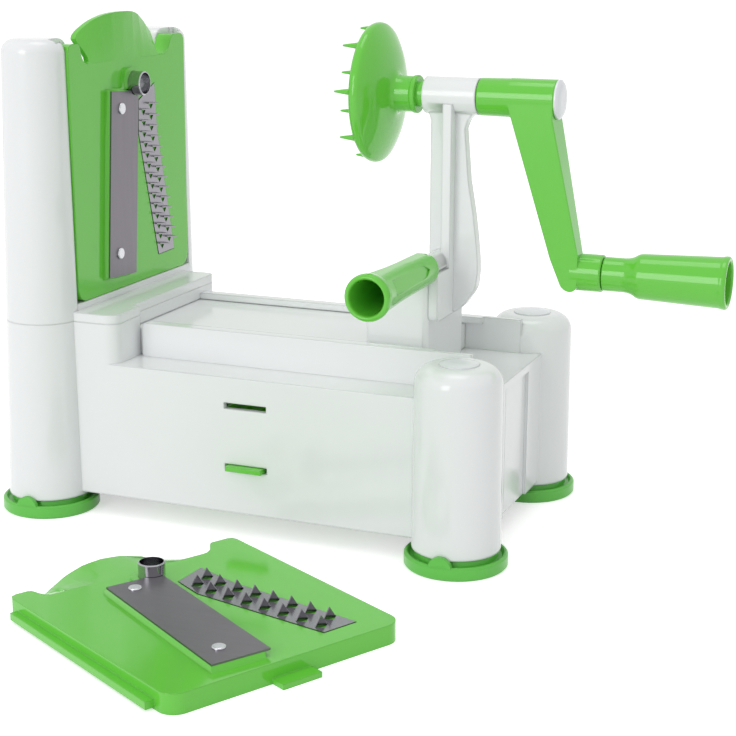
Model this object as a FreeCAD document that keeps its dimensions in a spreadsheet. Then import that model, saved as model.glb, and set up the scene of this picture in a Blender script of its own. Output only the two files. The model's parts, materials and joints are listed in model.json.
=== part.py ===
import FreeCAD, Part
import math
import os

import Sketcher

V = FreeCAD.Vector

# Hand cranked spiral slicer. Frame: +X from the blade tower to the crank, +Y to the
# back, +Z up. The origin lies on the table, midway between the four suction feet.

# Driving dimensions in millimetres: alias, value, meaning.
SIZES = [
    ("span_x", 100.0, "half the distance between the left and right columns"),
    ("span_y", 53.3, "half the distance between the front and back columns"),
    ("column_foot_radius", 19.1, "column radius at its foot"),
    ("column_head_radius", 18.6, "short column radius under its shoulder"),
    ("column_underside", 7.9, "height of the columns' undersides"),
    ("column_drop", 2.6, "how far the short columns and the rails end under the seam"),
    ("column_round", 8.0, "shoulder radius of the short columns"),
    ("column_wall", 3.0, "wall of the hollow columns"),
    ("pillar_top", 214.7, "top of the two tall pillars"),
    ("pillar_head_radius", 14.8, "pillar radius at its top"),
    ("pillar_lean", 2.3, "how far a pillar's top centre stands towards the crank"),
    ("pillar_round", 6.0, "rounding of the pillar tops"),
    ("pillar_core", 6.5, "radius of the hollow inside a pillar"),
    ("seam_height", 90.0, "seam between base and blade tower"),
    ("box_half_x", 109.5, "half length of the base box"),
    ("box_half_y", 56.8, "half depth of the base box"),
    ("box_underside", 9.7, "lower edge of the base box walls"),
    ("box_top", 71.8, "top of the base box, which is the slide floor"),
    ("box_wall", 3.0, "wall of the base box"),
    ("end_panel_half", 17.0, "half width of the sunk panel in the end wall"),
    ("end_panel_depth", 1.4, "depth of that panel"),
    ("end_panel_margin", 3.6, "band left above that panel"),
    ("rail_inner", 34.5, "inner face of a rail, from the middle"),
    ("rail_wall", 2.8, "wall of a rail"),
    ("lip_reach", 2.5, "how far a lip hangs over the slide"),
    ("lip_height", 3.1, "height of a lip"),
    ("lip_end", 82.0, "crank end of the lips"),
    ("shelf_reach", 35.5, "front face of the cross wall, from the column centres"),
    ("corner_reach", 39.5, "end of the front corner block, from the column centres"),
    ("corner_back", 48.0, "back end of the cross wall, from the middle"),
    ("corner_round", 6.0, "rounding of the front corner block"),
    ("rail_space", 2.3, "gap between the front corner block and the front rail"),
    ("rail_round", 2.0, "rounding of the rails' upper ends"),
    ("shelf_rise", 4.2, "height of the shelf in front of the blade plate, over the seam"),
    ("sill_reach", 18.4, "front face of the sill, from the column centres"),
    ("sill_back", 0.0, "back face of the sill, from the column centres"),
    ("sill_rise", 7.2, "height of the sill that carries the blade plate, over the seam"),
    ("slide_gap", 0.3, "running gap of everything that slides"),
    ("tray_left", 69.0, "blade end of the carriage tray, left of the middle"),
    ("tray_right", 73.3, "crank end of the carriage tray"),
    ("tray_wall", 2.5, "wall of the carriage mouldings"),
    ("block_left", 46.5, "blade side of the carriage block"),
    ("block_right", 75.4, "crank side of the carriage block"),
    ("block_half", 24.4, "half depth of the carriage block"),
    ("block_top", 114.2, "top of the carriage block"),
    ("block_round", 2.3, "rounding of the carriage block"),
    ("axis_height", 192.0, "height of the crank axis"),
    ("tube_radius", 7.9, "bearing tube radius"),
    ("tube_left", 65.4, "blade end of the bearing tube"),
    ("tube_length", 24.1, "length of the bearing tube"),
    ("shaft_radius", 4.1, "drive shaft radius"),
    ("running_gap", 0.08, "radial gap of the turning pins and shafts"),
    ("press_gap", 0.02, "radial gap of the pressed and screwed fits"),
    ("plate_web", 4.1, "thickness of the post's foot plate"),
    ("post_foot_front", 23.3, "front edge of the post's foot plate, from the middle"),
    ("post_foot_back", 15.5, "back edge of that plate, from the middle"),
    ("post_foot_round", 3.0, "radius of its lower corners"),
    ("post_screw_inset", 7.0, "distance of the post screws from the foot plate's edges"),
    ("post_screw_drop", 9.0, "distance of the post screws under the block's top"),
    ("post_foot_top", 118.0, "height where the foot plate narrows"),
    ("post_foot_low", 96.7, "lower edge of the foot plate"),
    ("post_rib_half", 8.4, "half width of the post's upper rib"),
    ("post_web_half", 2.6, "half thickness of the post's web"),
    ("post_web_left", 68.2, "blade side of the post's web"),
    ("post_web_neck", 83.6, "crank side of the web under the bearing"),
    ("post_web_belly", 90.6, "crank side of the web at its widest"),
    ("belly_height", 117.0, "height of the web's widest place"),
    ("handle_x", 73.3, "side handle axis, along the base"),
    ("handle_rise", 6.0, "height of the side handle axis over the block"),
    ("handle_length", 65.8, "length of the side handle"),
    ("handle_root_radius", 7.3, "handle radius beside the block"),
    ("handle_grip_radius", 8.5, "handle radius before its rim"),
    ("handle_rim_radius", 9.7, "radius of the handle's rim"),
    ("handle_bore_radius", 7.3, "bore of the handle at its open end"),
    ("spigot_radius", 5.0, "radius of the spigot that carries the handle"),
    ("spigot_length", 12.0, "how deep that spigot sits in the handle"),
    ("wheel_x", 42.5, "plane of the spiked wheel's rim"),
    ("wheel_radius", 30.3, "radius of the spiked wheel"),
    ("wheel_hub_radius", 7.7, "hub radius of the spiked wheel"),
    ("wheel_hub_end", 61.8, "end of that hub"),
    ("spike_length", 8.0, "length of a spike in the outer ring"),
    ("spike_inset", 2.8, "distance of the outer spikes from the wheel's rim"),
    ("spike_pitch", 6.3, "distance between the two rings of spikes"),
    ("spike_step", 2.1, "how far the inner spikes' roots stand behind the outer ones"),
    ("spike_radius", 1.5, "spike radius at its root"),
    ("hub_radius", 8.35, "hub radius of the crank"),
    ("hub_end", 124.0, "end face of the crank's hub"),
    ("arm_half", 7.6, "half thickness of the crank arm at its hub"),
    ("arm_back", 1.2, "back face of the crank arm at the knob, from the middle"),
    ("arm_drop", 72.8, "distance between the crank axis and the knob axis"),
    ("stub_radius", 8.0, "radius of the stub that holds the knob pin"),
    ("stub_start", 130.0, "root of that stub"),
    ("stub_end", 146.4, "end face of that stub"),
    ("cap_rise", 2.4, "how far the hub's end cap stands out"),
    ("knob_length", 52.9, "length of the turning knob"),
    ("knob_neck_radius", 7.3, "knob radius at its neck"),
    ("knob_grip_radius", 9.7, "knob radius behind the neck"),
    ("knob_end_radius", 11.2, "knob radius at its open end"),
    ("knob_hollow_radius", 8.8, "radius of the knob's hollow end"),
    ("knob_hollow_depth", 14.0, "depth of the knob's hollow end"),
    ("pin_radius", 3.0, "radius of the knob's steel pin"),
    ("foot_radius", 22.2, "radius of a suction foot"),
    ("foot_height", 5.9, "height of a suction foot's rim"),
    ("stem_radius", 3.2, "stem radius of a suction foot"),
    ("stem_head_radius", 4.4, "radius of the stem's snap head"),
    ("foot_tab_radius", 5.2, "radius of the pull tab"),
    ("cap_radius", 8.4, "radius of a column cap"),
    ("cap_dome", 1.2, "height of a column cap over its column"),
    ("plate_half", 53.0, "half width of a blade plate"),
    ("plate_taper", 0.9, "how much narrower a plate is at its bottom, each side"),
    ("plate_rise", 20.2, "height of a blade plate's shoulders over the coring ring's middle"),
    ("plate_depth", 8.0, "depth of a blade plate"),
    ("plate_wall", 2.4, "wall of a blade plate"),
    ("plate_corner", 7.0, "radius of a blade plate's lower corners"),
    ("hump_rise", 12.6, "height of a blade plate's finger grip over its shoulders"),
    ("hump_half", 36.0, "half width of the band that the finger grip is cut from"),
    ("hump_bend", 11.2, "how far that band's ends bend back at the top"),
    ("hump_shift", 4.5, "how far the finger grip's top stands to the front"),
    ("notch_depth", 9.0, "depth of the notches beside the grip"),
    ("tongue_reach", 3.0, "how far a plate's side tongue stands out"),
    ("tongue_thick", 3.0, "thickness of a side tongue"),
    ("tongue_back", 1.0, "setback of a side tongue from the plate's back"),
    ("tongue_drop", 6.7, "how far a side tongue ends under the plate's shoulders"),
    ("latch_half", 8.6, "half width of the latch tab"),
    ("latch_reach", 6.5, "how far the latch tab stands out"),
    ("latch_thick", 2.2, "thickness of the latch tab"),
    ("plate_back", 10.5, "back of the installed plate, from the column centres"),
    ("blade_width", 24.4, "width of a straight blade"),
    ("blade_drop", 2.1, "how far a straight blade ends under the coring ring's middle"),
    ("blade_lean", 7.4, "how far a straight blade leans over its height"),
    ("blade_edge", 2.2, "upper corner of the blade's edge, from the middle"),
    ("blade_low", 5.9, "lower corner of the blade's edge, over the plate's bottom"),
    ("steel", 0.8, "thickness of the blades"),
    ("bed_rise", 2.2, "height of the straight blade's bed over the plate's face"),
    ("bed_inset", 2.4, "how far the straight blade's edge stands out over its bed"),
    ("bed_draft", 1.3, "how much wider the bed is at its foot, each side"),
    ("boss_reach", 8.4, "reach of the boss beside the coring ring"),
    ("comb_sink", 0.6, "depth of the comb blade's recess"),
    ("recess_gap", 0.3, "gap round the comb blade and round the coring ring"),
    ("stud_radius", 2.7, "radius of a stud's head"),
    ("stud_shank", 1.4, "radius of a stud's shank"),
    ("ring_radius", 5.5, "outer radius of the coring ring"),
    ("ring_wall", 0.6, "wall of the coring ring"),
    ("ring_reach", 15.8, "mouth of the coring ring, from the plate's back"),
    ("comb_foot_near", 22.0, "near lower corner of a comb blade, from the middle"),
    ("comb_foot_far", 37.6, "far lower corner of a comb blade, from the middle"),
    ("comb_bend", 22.0, "where a comb blade bends, under the straight blade's top"),
    ("tooth_height", 4.2, "height of the teeth over a comb blade"),
    ("bay_x", 3.0, "middle of the storage bays"),
    ("bay_low", 32.0, "height of the stored plate's upper side, lower bay"),
    ("bay_pitch", 28.0, "distance between the two storage bays"),
    ("bay_drop", 17.0, "room under a stored plate's upper side"),
    ("window_half", 10.2, "half width of a latch window"),
    ("guide_wall", 6.4, "thickness of a storage guide"),
    ("guide_low", 12.5, "lower edge of the storage guides"),
    ("screw_radius", 1.5, "shank radius of the screws"),
    ("screw_head", 3.4, "head radius of the screws"),
    ("head_height", 2.4, "head height of the screws"),
    ("loose_x", 82.3, "middle of the loose plate's bottom edge, along the base"),
    ("loose_y", 182.4, "the same point, in front of the middle"),
    ("loose_turn", 29.1, "how far the loose plate is turned, in degrees"),
]

doc = FreeCAD.newDocument("spiral_slicer")


class Term:
    """A number together with the expression that works it out from the sheet."""

    def __init__(self, value, text):
        self.value = float(value)
        self.text = text

    @staticmethod
    def of(other):
        return other if isinstance(other, Term) else Term(other, repr(float(other)))

    def __add__(self, other):
        other = Term.of(other)
        return Term(self.value + other.value, f"({self.text} + {other.text})")

    def __sub__(self, other):
        other = Term.of(other)
        return Term(self.value - other.value, f"({self.text} - {other.text})")

    def __mul__(self, other):
        other = Term.of(other)
        return Term(self.value * other.value, f"({self.text} * {other.text})")

    def __truediv__(self, other):
        other = Term.of(other)
        return Term(self.value / other.value, f"({self.text} / {other.text})")

    def __radd__(self, other):
        return Term.of(other) + self

    def __rsub__(self, other):
        return Term.of(other) - self

    def __rmul__(self, other):
        return Term.of(other) * self

    def __neg__(self):
        return Term(-self.value, f"(-1 * {self.text})")

    def __float__(self):
        return self.value


class Sheet:
    """The spreadsheet of driving dimensions, read as attributes."""

    def __init__(self):
        sheet = doc.addObject("Spreadsheet::Sheet", "Sizes")
        for row, (alias, value, meaning) in enumerate(SIZES, start=1):
            sheet.set(f"A{row}", meaning)
            sheet.set(f"B{row}", str(value))
            sheet.setAlias(f"B{row}", alias)
        doc.recompute()
        self._values = {alias: value for alias, value, meaning in SIZES}

    def __getattr__(self, alias):
        return Term(self._values[alias], f"Sizes.{alias}")


D = Sheet()


def bind(thing, name, amount):
    """Ties one property of an object to the sheet, or sets a plain number."""
    if isinstance(amount, Term):
        thing.setExpression(name, amount.text)
    elif name.startswith("Placement.Base."):
        base = thing.Placement.Base
        setattr(base, name[-1], float(amount))
        thing.Placement = FreeCAD.Placement(base, thing.Placement.Rotation)
    else:
        setattr(thing, name, float(amount))


TURNS = {
    "x": FreeCAD.Rotation(V(0, 1, 0), 90),
    "y": FreeCAD.Rotation(V(1, 0, 0), -90),
    "z": FreeCAD.Rotation(),
}


def place(thing, x, y, z, axis="z"):
    thing.Placement = FreeCAD.Placement(V(), TURNS[axis])
    for name, amount in zip("xyz", (x, y, z)):
        bind(thing, f"Placement.Base.{name}", amount)
    return thing


def box(name, low, high):
    """A box between two corners."""
    thing = doc.addObject("Part::Box", name)
    for side, (start, end) in zip(("Length", "Width", "Height"), zip(low, high)):
        bind(thing, side, Term.of(end) - start)
    return place(thing, *low)


def rod(name, radius, start, end, axis, x=0.0, y=0.0, z=0.0):
    """A cylinder along an axis, from start to end."""
    thing = doc.addObject("Part::Cylinder", name)
    bind(thing, "Radius", radius)
    bind(thing, "Height", Term.of(end) - start)
    spot = dict(x=x, y=y, z=z)
    spot[axis] = start
    return place(thing, spot["x"], spot["y"], spot["z"], axis)


def join(name, *things):
    thing = doc.addObject("Part::MultiFuse", name)
    thing.Shapes = list(things)
    thing.Refine = True
    return thing


def cut(name, base, *tools):
    thing = doc.addObject("Part::Cut", name)
    thing.Base = base
    thing.Tool = tools[0] if len(tools) == 1 else join(f"{name}_tools", *tools)
    thing.Refine = True
    return thing


def common(name, first, second):
    thing = doc.addObject("Part::Common", name)
    thing.Base = first
    thing.Tool = second
    return thing


def rounded(name, base, radius, wanted):
    """Rounds the edges of a Part object that a test picks."""
    doc.recompute()
    thing = doc.addObject("Part::Fillet", name)
    thing.Base = base
    edges = base.Shape.Edges
    thing.Edges = [(i, float(radius), float(radius)) for i, edge in enumerate(edges, 1) if wanted(edge)]
    return thing


def level(edge, height, slack=0.01):
    """Says if an edge lies flat at a height."""
    bounds = edge.BoundBox
    return abs(bounds.ZMin - height) < slack and abs(bounds.ZMax - height) < slack


def new_body(name):
    return doc.addObject("PartDesign::Body", name)


def sketch(body, name, role, offset=None):
    """A sketch on one of the body's own planes, moved along that plane's normal."""
    drawing = body.newObject("Sketcher::SketchObject", name)
    plane = [item for item in body.Origin.OriginFeatures if item.Role == role][0]
    drawing.AttachmentSupport = (plane, [""])
    drawing.MapMode = "FlatFace"
    if isinstance(offset, Term):
        drawing.setExpression("AttachmentOffset.Base.z", offset.text)
    elif offset:
        drawing.AttachmentOffset = FreeCAD.Placement(V(0, 0, offset), FreeCAD.Rotation())
    return drawing


def pin_point(drawing, index, spot, x, y):
    """Ties one end of a line to the sheet."""
    for kind, axis, amount in (("DistanceX", -2, x), ("DistanceY", -1, y)):
        if float(amount) == 0.0:
            drawing.addConstraint(Sketcher.Constraint("PointOnObject", index, spot, axis))
            continue
        number = drawing.addConstraint(Sketcher.Constraint(kind, index, spot, float(amount)))
        if isinstance(amount, Term):
            drawing.setExpression(f"Constraints[{number}]", amount.text)


def outline(drawing, points):
    """A closed outline of straight lines through the points."""
    first = drawing.GeometryCount
    count = len(points)
    spots = [V(float(x), float(y), 0) for x, y in points]
    for i in range(count):
        drawing.addGeometry(Part.LineSegment(spots[i], spots[(i + 1) % count]))
    for i in range(count):
        following = first + (i + 1) % count
        drawing.addConstraint(Sketcher.Constraint("Coincident", first + i, 2, following, 1))
    for i, (x, y) in enumerate(points):
        pin_point(drawing, first + i, 1, x, y)
    return drawing


def circle(drawing, x, y, radius):
    index = drawing.addGeometry(Part.Circle(V(float(x), float(y), 0), V(0, 0, 1), float(radius)))
    pin_point(drawing, index, 3, x, y)
    number = drawing.addConstraint(Sketcher.Constraint("Radius", index, float(radius)))
    if isinstance(radius, Term):
        drawing.setExpression(f"Constraints[{number}]", radius.text)
    return drawing


def pad(body, drawing, length, both=False):
    feature = body.newObject("PartDesign::Pad", f"{drawing.Name}_pad")
    feature.Profile = drawing
    bind(feature, "Length", length)
    if both:
        feature.SideType = "Symmetric"
    drawing.Visibility = False
    return feature


def pocket(body, drawing, length, flip=False, both=False):
    """Removes material, and makes sure that it did."""
    doc.recompute()
    before = body.Shape.Volume
    feature = body.newObject("PartDesign::Pocket", f"{drawing.Name}_pocket")
    feature.Profile = drawing
    bind(feature, "Length", length)
    feature.Reversed = flip
    if both:
        feature.SideType = "Symmetric"
    doc.recompute()
    if not body.Shape.Volume < before - 1e-6:
        raise RuntimeError(f"{feature.Name} removes nothing")
    return feature


def revolve(body, drawing, axis):
    feature = body.newObject("PartDesign::Revolution", f"{drawing.Name}_turn")
    feature.Profile = drawing
    feature.ReferenceAxis = (drawing, [axis])
    feature.Angle = 360
    return feature


def soften(body, base, radius, wanted, kind="PartDesign::Fillet"):
    """Rounds or bevels the edges of a body's newest feature that a test picks."""
    doc.recompute()
    names = [f"Edge{i}" for i, edge in enumerate(base.Shape.Edges, 1) if wanted(edge)]
    feature = body.newObject(kind, f"{base.Name}_soft")
    feature.Base = (base, names)
    bind(feature, "Size" if kind.endswith("Chamfer") else "Radius", radius)
    return feature


def turned(name, axis, points, x=0.0, y=0.0, z=0.0):
    """A solid of revolution: points are (distance along the axis, radius)."""
    body = new_body(name)
    drawing = sketch(body, f"{name}_profile", "XZ_Plane")
    if axis == "z":
        outline(drawing, [(radius, along) for along, radius in points])
        revolve(body, drawing, "V_Axis")
    else:
        outline(drawing, points)
        revolve(body, drawing, "H_Axis")
        if axis == "y":
            body.Placement = FreeCAD.Placement(V(), FreeCAD.Rotation(V(0, 0, 1), 90))
    for letter, amount in zip("xyz", (x, y, z)):
        bind(body, f"Placement.Base.{letter}", amount)
    return body


parts = {}


def keep(name, thing):
    """Names a finished sub-part, which also names its file."""
    thing.Label = name
    parts[name] = thing
    return thing


# Heights and places that several pieces share.
COLUMN_TOP = D.seam_height - D.column_drop
SHELF_TOP = D.seam_height + D.shelf_rise
SILL_TOP = D.seam_height + D.sill_rise
LIP_LOW = COLUMN_TOP - D.lip_height
TRAY_TOP = LIP_LOW - D.slide_gap
TRAY_LOW = D.box_top + D.slide_gap
TRAY_HALF = D.rail_inner - D.slide_gap
LIP_INNER = D.rail_inner - D.lip_reach
LEFT = -D.span_x
KNOB_HEIGHT = D.axis_height - D.arm_drop
HANDLE_HEIGHT = D.block_top + D.handle_rise
HANDLE_ROOT = -(D.block_half + D.slide_gap)
TUBE_RIGHT = D.tube_left + D.tube_length
FACE = D.plate_back + D.plate_depth
TONGUE_HALF = D.plate_half + D.tongue_reach
RING_HEIGHT = D.axis_height - SILL_TOP - D.slide_gap
PLATE_TOP = RING_HEIGHT + D.plate_rise
GRIP_TOP = PLATE_TOP + D.hump_rise
BORE = D.shaft_radius + D.running_gap


def pillar(name, side):
    """A whole tall pillar from the foot to its rounded top; side is -1 or 1 in Y."""
    rings = []
    for tag, radius, lean, height in (
        ("foot", D.column_foot_radius, 0.0, D.column_underside),
        ("head", D.pillar_head_radius, D.pillar_lean, D.pillar_top),
    ):
        ring = doc.addObject("Part::Circle", f"{name}_{tag}")
        bind(ring, "Radius", radius)
        place(ring, LEFT + lean, side * D.span_y, height)
        rings.append(ring)
    loft = doc.addObject("Part::Loft", f"{name}_loft")
    loft.Sections = rings
    loft.Solid = True
    top = float(D.pillar_top)
    return rounded(f"{name}_rounded", loft, D.pillar_round, lambda edge: level(edge, top))


def below_seam(name):
    reach = D.span_x * 2
    return box(name, (-reach, -reach, 0.0), (reach, reach, D.seam_height))


def above_seam(name):
    reach = D.span_x * 2
    return box(name, (-reach, -reach, D.seam_height), (reach, reach, D.pillar_top + 10))


def short_column(name, side):
    cone = doc.addObject("Part::Cone", f"{name}_cone")
    bind(cone, "Radius1", D.column_foot_radius)
    bind(cone, "Radius2", D.column_head_radius)
    bind(cone, "Height", COLUMN_TOP - D.column_underside)
    place(cone, D.span_x, side * D.span_y, D.column_underside)
    top = float(COLUMN_TOP)
    return rounded(f"{name}_rounded", cone, D.column_round, lambda edge: level(edge, top))


def storage_bay(name, top):
    """The room that one stored plate takes, with its tongues, open at the back."""
    half = D.plate_half + D.slide_gap
    back = D.box_half_y + 1
    inner = D.box_half_y - D.box_wall
    room = box(
        f"{name}_room",
        (D.bay_x - half, -inner, top - D.bay_drop),
        (D.bay_x + half, back, top + D.slide_gap),
    )
    wide = TONGUE_HALF + D.slide_gap
    grooves = box(
        f"{name}_grooves",
        (D.bay_x - wide, -inner, top - D.tongue_back - D.tongue_thick - D.slide_gap),
        (D.bay_x + wide, back, top - D.tongue_back + D.slide_gap),
    )
    window = box(
        f"{name}_window",
        (D.bay_x - D.window_half, -D.box_half_y - 1, top - D.latch_thick - D.slide_gap),
        (D.bay_x + D.window_half, -inner + 1, top + D.slide_gap),
    )
    return room, grooves, window


def corner_block(name, side, low, high):
    """One end of the cross wall; the front one stands further out than the back one."""
    front = side < 0
    reach = LEFT + (D.corner_reach if front else D.shelf_reach)
    edge = -D.box_half_y if front else D.corner_back
    near, far = sorted((side * D.rail_inner, edge), key=float)
    block = box(name, (LEFT, near, low), (reach, far, high))
    return rounded(
        f"{name}_rounded",
        block,
        D.corner_round if front else D.corner_round * 0.6,
        lambda item: item.BoundBox.ZLength > 1
        and abs(item.BoundBox.XMin - float(reach)) < 0.01
        and abs(item.BoundBox.YMin - float(edge)) < 0.01,
    )


def rail_start(side):
    """Blade end of a rail: the front one stops short of the corner block."""
    if side < 0:
        return LEFT + D.corner_reach + D.rail_space
    return LEFT + D.shelf_reach - 1


def round_end(rail, side):
    """Rounds the upper edge of a rail's blade end."""
    start = float(rail_start(side))
    top = float(COLUMN_TOP)
    return rounded(
        f"{rail.Name}_rounded",
        rail,
        D.rail_round,
        lambda edge: level(edge, top) and abs(edge.BoundBox.XMax - start) < 0.01,
    )


def make_base():
    """The base: box with two storage bays, four columns, rails and corner blocks."""
    shell = box(
        "base_box",
        (-D.box_half_x, -D.box_half_y, D.box_underside),
        (D.box_half_x, D.box_half_y, D.box_top),
    )
    inside = D.box_half_x - D.box_wall
    deep = D.box_half_y - D.box_wall
    cavity = box("base_cavity", (-inside, -deep, 0.0), (inside, deep, D.box_top - D.box_wall))
    solids = [cut("base_walls", shell, cavity)]
    for side in (-1, 1):
        tag = "front" if side < 0 else "back"
        tall = pillar(f"{tag}_base_pillar", side)
        solids.append(common(f"{tag}_tall_column", tall, below_seam(f"{tag}_seam")))
        solids.append(short_column(f"{tag}_short_column", side))
        outer = D.rail_inner + D.rail_wall
        near, far = sorted((side * D.rail_inner, side * outer), key=float)
        rail = box(f"{tag}_rail", (rail_start(side), near, D.box_top), (D.span_x, far, COLUMN_TOP))
        solids.append(round_end(rail, side))
        near, far = sorted((side * LIP_INNER, side * outer), key=float)
        lip = box(f"{tag}_lip", (rail_start(side), near, LIP_LOW), (D.lip_end, far, COLUMN_TOP))
        solids.append(round_end(lip, side))
        solids.append(corner_block(f"{tag}_corner", side, D.box_top, D.seam_height))
        middle = D.bay_x + side * (D.plate_half + D.slide_gap + D.guide_wall / 2)
        solids.append(
            box(
                f"{tag}_guide",
                (middle - D.guide_wall / 2, -deep - 1, D.guide_low),
                (middle + D.guide_wall / 2, deep + 1, D.box_top - 1),
            )
        )
    bridge_low = LIP_LOW
    solids.append(
        box(
            "cross_bridge",
            (LEFT, -D.rail_inner - 1, bridge_low),
            (LEFT + D.shelf_reach, D.rail_inner + 1, D.seam_height),
        )
    )
    body = join("base_solid", *solids)
    tools = []
    for bay in (0, 1):
        tools.extend(storage_bay(f"bay_{bay}", D.bay_low + bay * D.bay_pitch))
    inner = D.column_foot_radius - D.column_wall
    for side in (-1, 1):
        tag = "front" if side < 0 else "back"
        for end in (-1, 1):
            x = end * D.span_x
            y = side * D.span_y
            top = COLUMN_TOP - D.column_round if end > 0 else D.seam_height - D.column_wall
            start = D.column_underside + D.column_wall
            spot = f"{tag}_{'right' if end > 0 else 'left'}"
            tools.append(rod(f"{spot}_bore", inner, start, top, "z", x, y))
            tools.append(rod(f"{spot}_stem_hole", D.stem_radius, 0.0, start + 1, "z", x, y))
        hole = D.screw_radius + D.press_gap
        tools.append(rod(f"{tag}_tower_hole", hole, D.box_top, D.seam_height + 1, "z", LEFT, side * D.span_y))
        recess = D.cap_radius + D.press_gap
        tools.append(
            rod(f"{tag}_cap_recess", recess, COLUMN_TOP - 1, COLUMN_TOP + 1, "z", D.span_x, side * D.span_y)
        )
    tools.append(
        box(
            "end_panel",
            (D.box_half_x - D.end_panel_depth, -D.end_panel_half, 0.0),
            (D.box_half_x + 1, D.end_panel_half, D.box_top - D.end_panel_margin),
        )
    )
    slide = box(
        "slide_way",
        (-D.box_half_x - 30, -D.rail_inner, D.box_top),
        (D.box_half_x + 30, D.rail_inner, LIP_LOW),
    )
    tools.append(slide)
    keep("base_shell", cut("base_shell_cut", body, *tools))


def make_tower():
    """The blade tower: two pillars, the sill under the plate and the shelf before it."""
    solids = []
    for side in (-1, 1):
        tag = "front" if side < 0 else "back"
        tall = pillar(f"{tag}_tower_pillar", side)
        solids.append(common(f"{tag}_upper_pillar", tall, above_seam(f"{tag}_upper")))
        solids.append(corner_block(f"{tag}_upper_corner", side, D.seam_height, SHELF_TOP))
    solids.append(
        box(
            "shelf",
            (LEFT, -D.rail_inner - 1, D.seam_height),
            (LEFT + D.shelf_reach, D.rail_inner + 1, SHELF_TOP),
        )
    )
    solids.append(
        box(
            "sill",
            (LEFT + D.sill_back, -D.span_y, D.seam_height),
            (LEFT + D.sill_reach, D.span_y, SILL_TOP),
        )
    )
    body = join("tower_solid", *solids)
    gap = D.slide_gap
    half = D.plate_half + gap
    top = D.pillar_top + 10
    back = LEFT + D.plate_back
    seat = box("plate_seat", (back - gap, -half, SILL_TOP), (LEFT + D.span_x, half, top))
    wide = TONGUE_HALF + gap
    tongue = back + D.tongue_back
    groove = box(
        "tongue_groove",
        (tongue - gap, -wide, SILL_TOP),
        (tongue + D.tongue_thick + gap, wide, top),
    )
    latch = box(
        "latch_slot",
        (back - gap, -D.latch_half - gap, D.seam_height + 0.4),
        (back + D.latch_thick + gap, D.latch_half + gap, SILL_TOP + 1),
    )
    tools = [seat, groove, latch]
    for side in (-1, 1):
        core = rod(
            f"{'front' if side < 0 else 'back'}_pillar_core",
            D.pillar_core,
            D.seam_height + 18,
            D.pillar_top - D.pillar_round,
            "z",
            LEFT + D.pillar_lean / 2,
            side * D.span_y,
        )
        tools.append(core)
        hole = D.screw_radius + D.press_gap
        tag = "front" if side < 0 else "back"
        end = D.seam_height + 15
        tools.append(rod(f"{tag}_screw_hole", hole, D.seam_height - 1, end, "z", LEFT, side * D.span_y))
    keep("blade_tower", cut("tower_cut", body, *tools))


def screw(name, start, tip, axis, x=0.0, y=0.0, z=0.0, way=1):
    """A round headed screw: its head ends at start, its shank runs to the tip."""
    head_low, head_high = sorted((start, start - way * D.head_height), key=float)
    low, high = sorted((start, tip), key=float)
    head = rod(f"{name}_head", D.screw_head, head_low, head_high, axis, x, y, z)
    shank = rod(f"{name}_shank", D.screw_radius, low, high, axis, x, y, z)
    return join(name, head, shank)


def make_tower_screws():
    """Two screws that come up through the tall columns into the tower."""
    start = D.seam_height - D.column_wall
    tip = D.seam_height + 14
    screws = [
        screw(f"tower_screw_{i}", start, tip, "z", x=LEFT, y=side * D.span_y)
        for i, side in enumerate((-1, 1))
    ]
    keep("tower_screws", compound("tower_screws_group", screws))


def compound(name, things):
    thing = doc.addObject("Part::Compound", name)
    thing.Links = things
    return thing


def make_foot(name, x, y, turn):
    """A suction foot: a cup with a raised lip, a snap stem and a pull tab."""
    body = new_body(name)
    drawing = sketch(body, f"{name}_profile", "XZ_Plane")
    rim = D.foot_radius
    seat = D.column_underside
    neck = seat + D.column_wall
    inner = D.stem_radius
    cup = [
        (0.0, 3.4),
        (6.0, 3.4),
        (rim - 2.2, 0.0),
        (rim - 0.7, 0.0),
        (rim, 0.8),
        (rim, D.foot_height - 0.8),
        (rim - 0.8, D.foot_height),
        (rim - 1.6, D.foot_height),
        (rim - 2.6, D.foot_height - 1.6),
        (D.column_foot_radius - 1.2, D.foot_height - 1.6),
        (D.column_foot_radius - 2.2, seat),
        (inner - 0.1, seat),
        (inner - 0.1, neck + 0.1),
        (D.stem_head_radius, neck + 0.1),
        (inner - 0.8, neck + 3),
        (0.0, neck + 3),
    ]
    outline(drawing, cup)
    turn_feature = revolve(body, drawing, "V_Axis")
    tab = sketch(body, f"{name}_tab", "XZ_Plane", D.column_foot_radius + D.slide_gap)
    circle(tab, 0.0, D.foot_height - 1.2, D.foot_tab_radius)
    low = sketch(body, f"{name}_tab_trim", "XY_Plane")
    outline(low, [
        (-D.foot_tab_radius - 2, -D.foot_radius - 6),
        (D.foot_tab_radius + 2, -D.foot_radius - 6),
        (D.foot_tab_radius + 2, -D.foot_radius + 12),
        (-D.foot_tab_radius - 2, -D.foot_radius + 12),
    ])
    pad(body, tab, 2.0)
    pocket(body, low, D.foot_tab_radius * 2)
    body.Placement = FreeCAD.Placement(V(), FreeCAD.Rotation(V(0, 0, 1), turn))
    bind(body, "Placement.Base.x", x)
    bind(body, "Placement.Base.y", y)
    return keep(name, body)


def make_feet():
    for tag, side in (("front", -1), ("back", 1)):
        turn = 0 if side < 0 else 180
        for end_tag, end in (("left", -1), ("right", 1)):
            make_foot(f"foot_{tag}_{end_tag}", end * D.span_x, side * D.span_y, turn)


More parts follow.
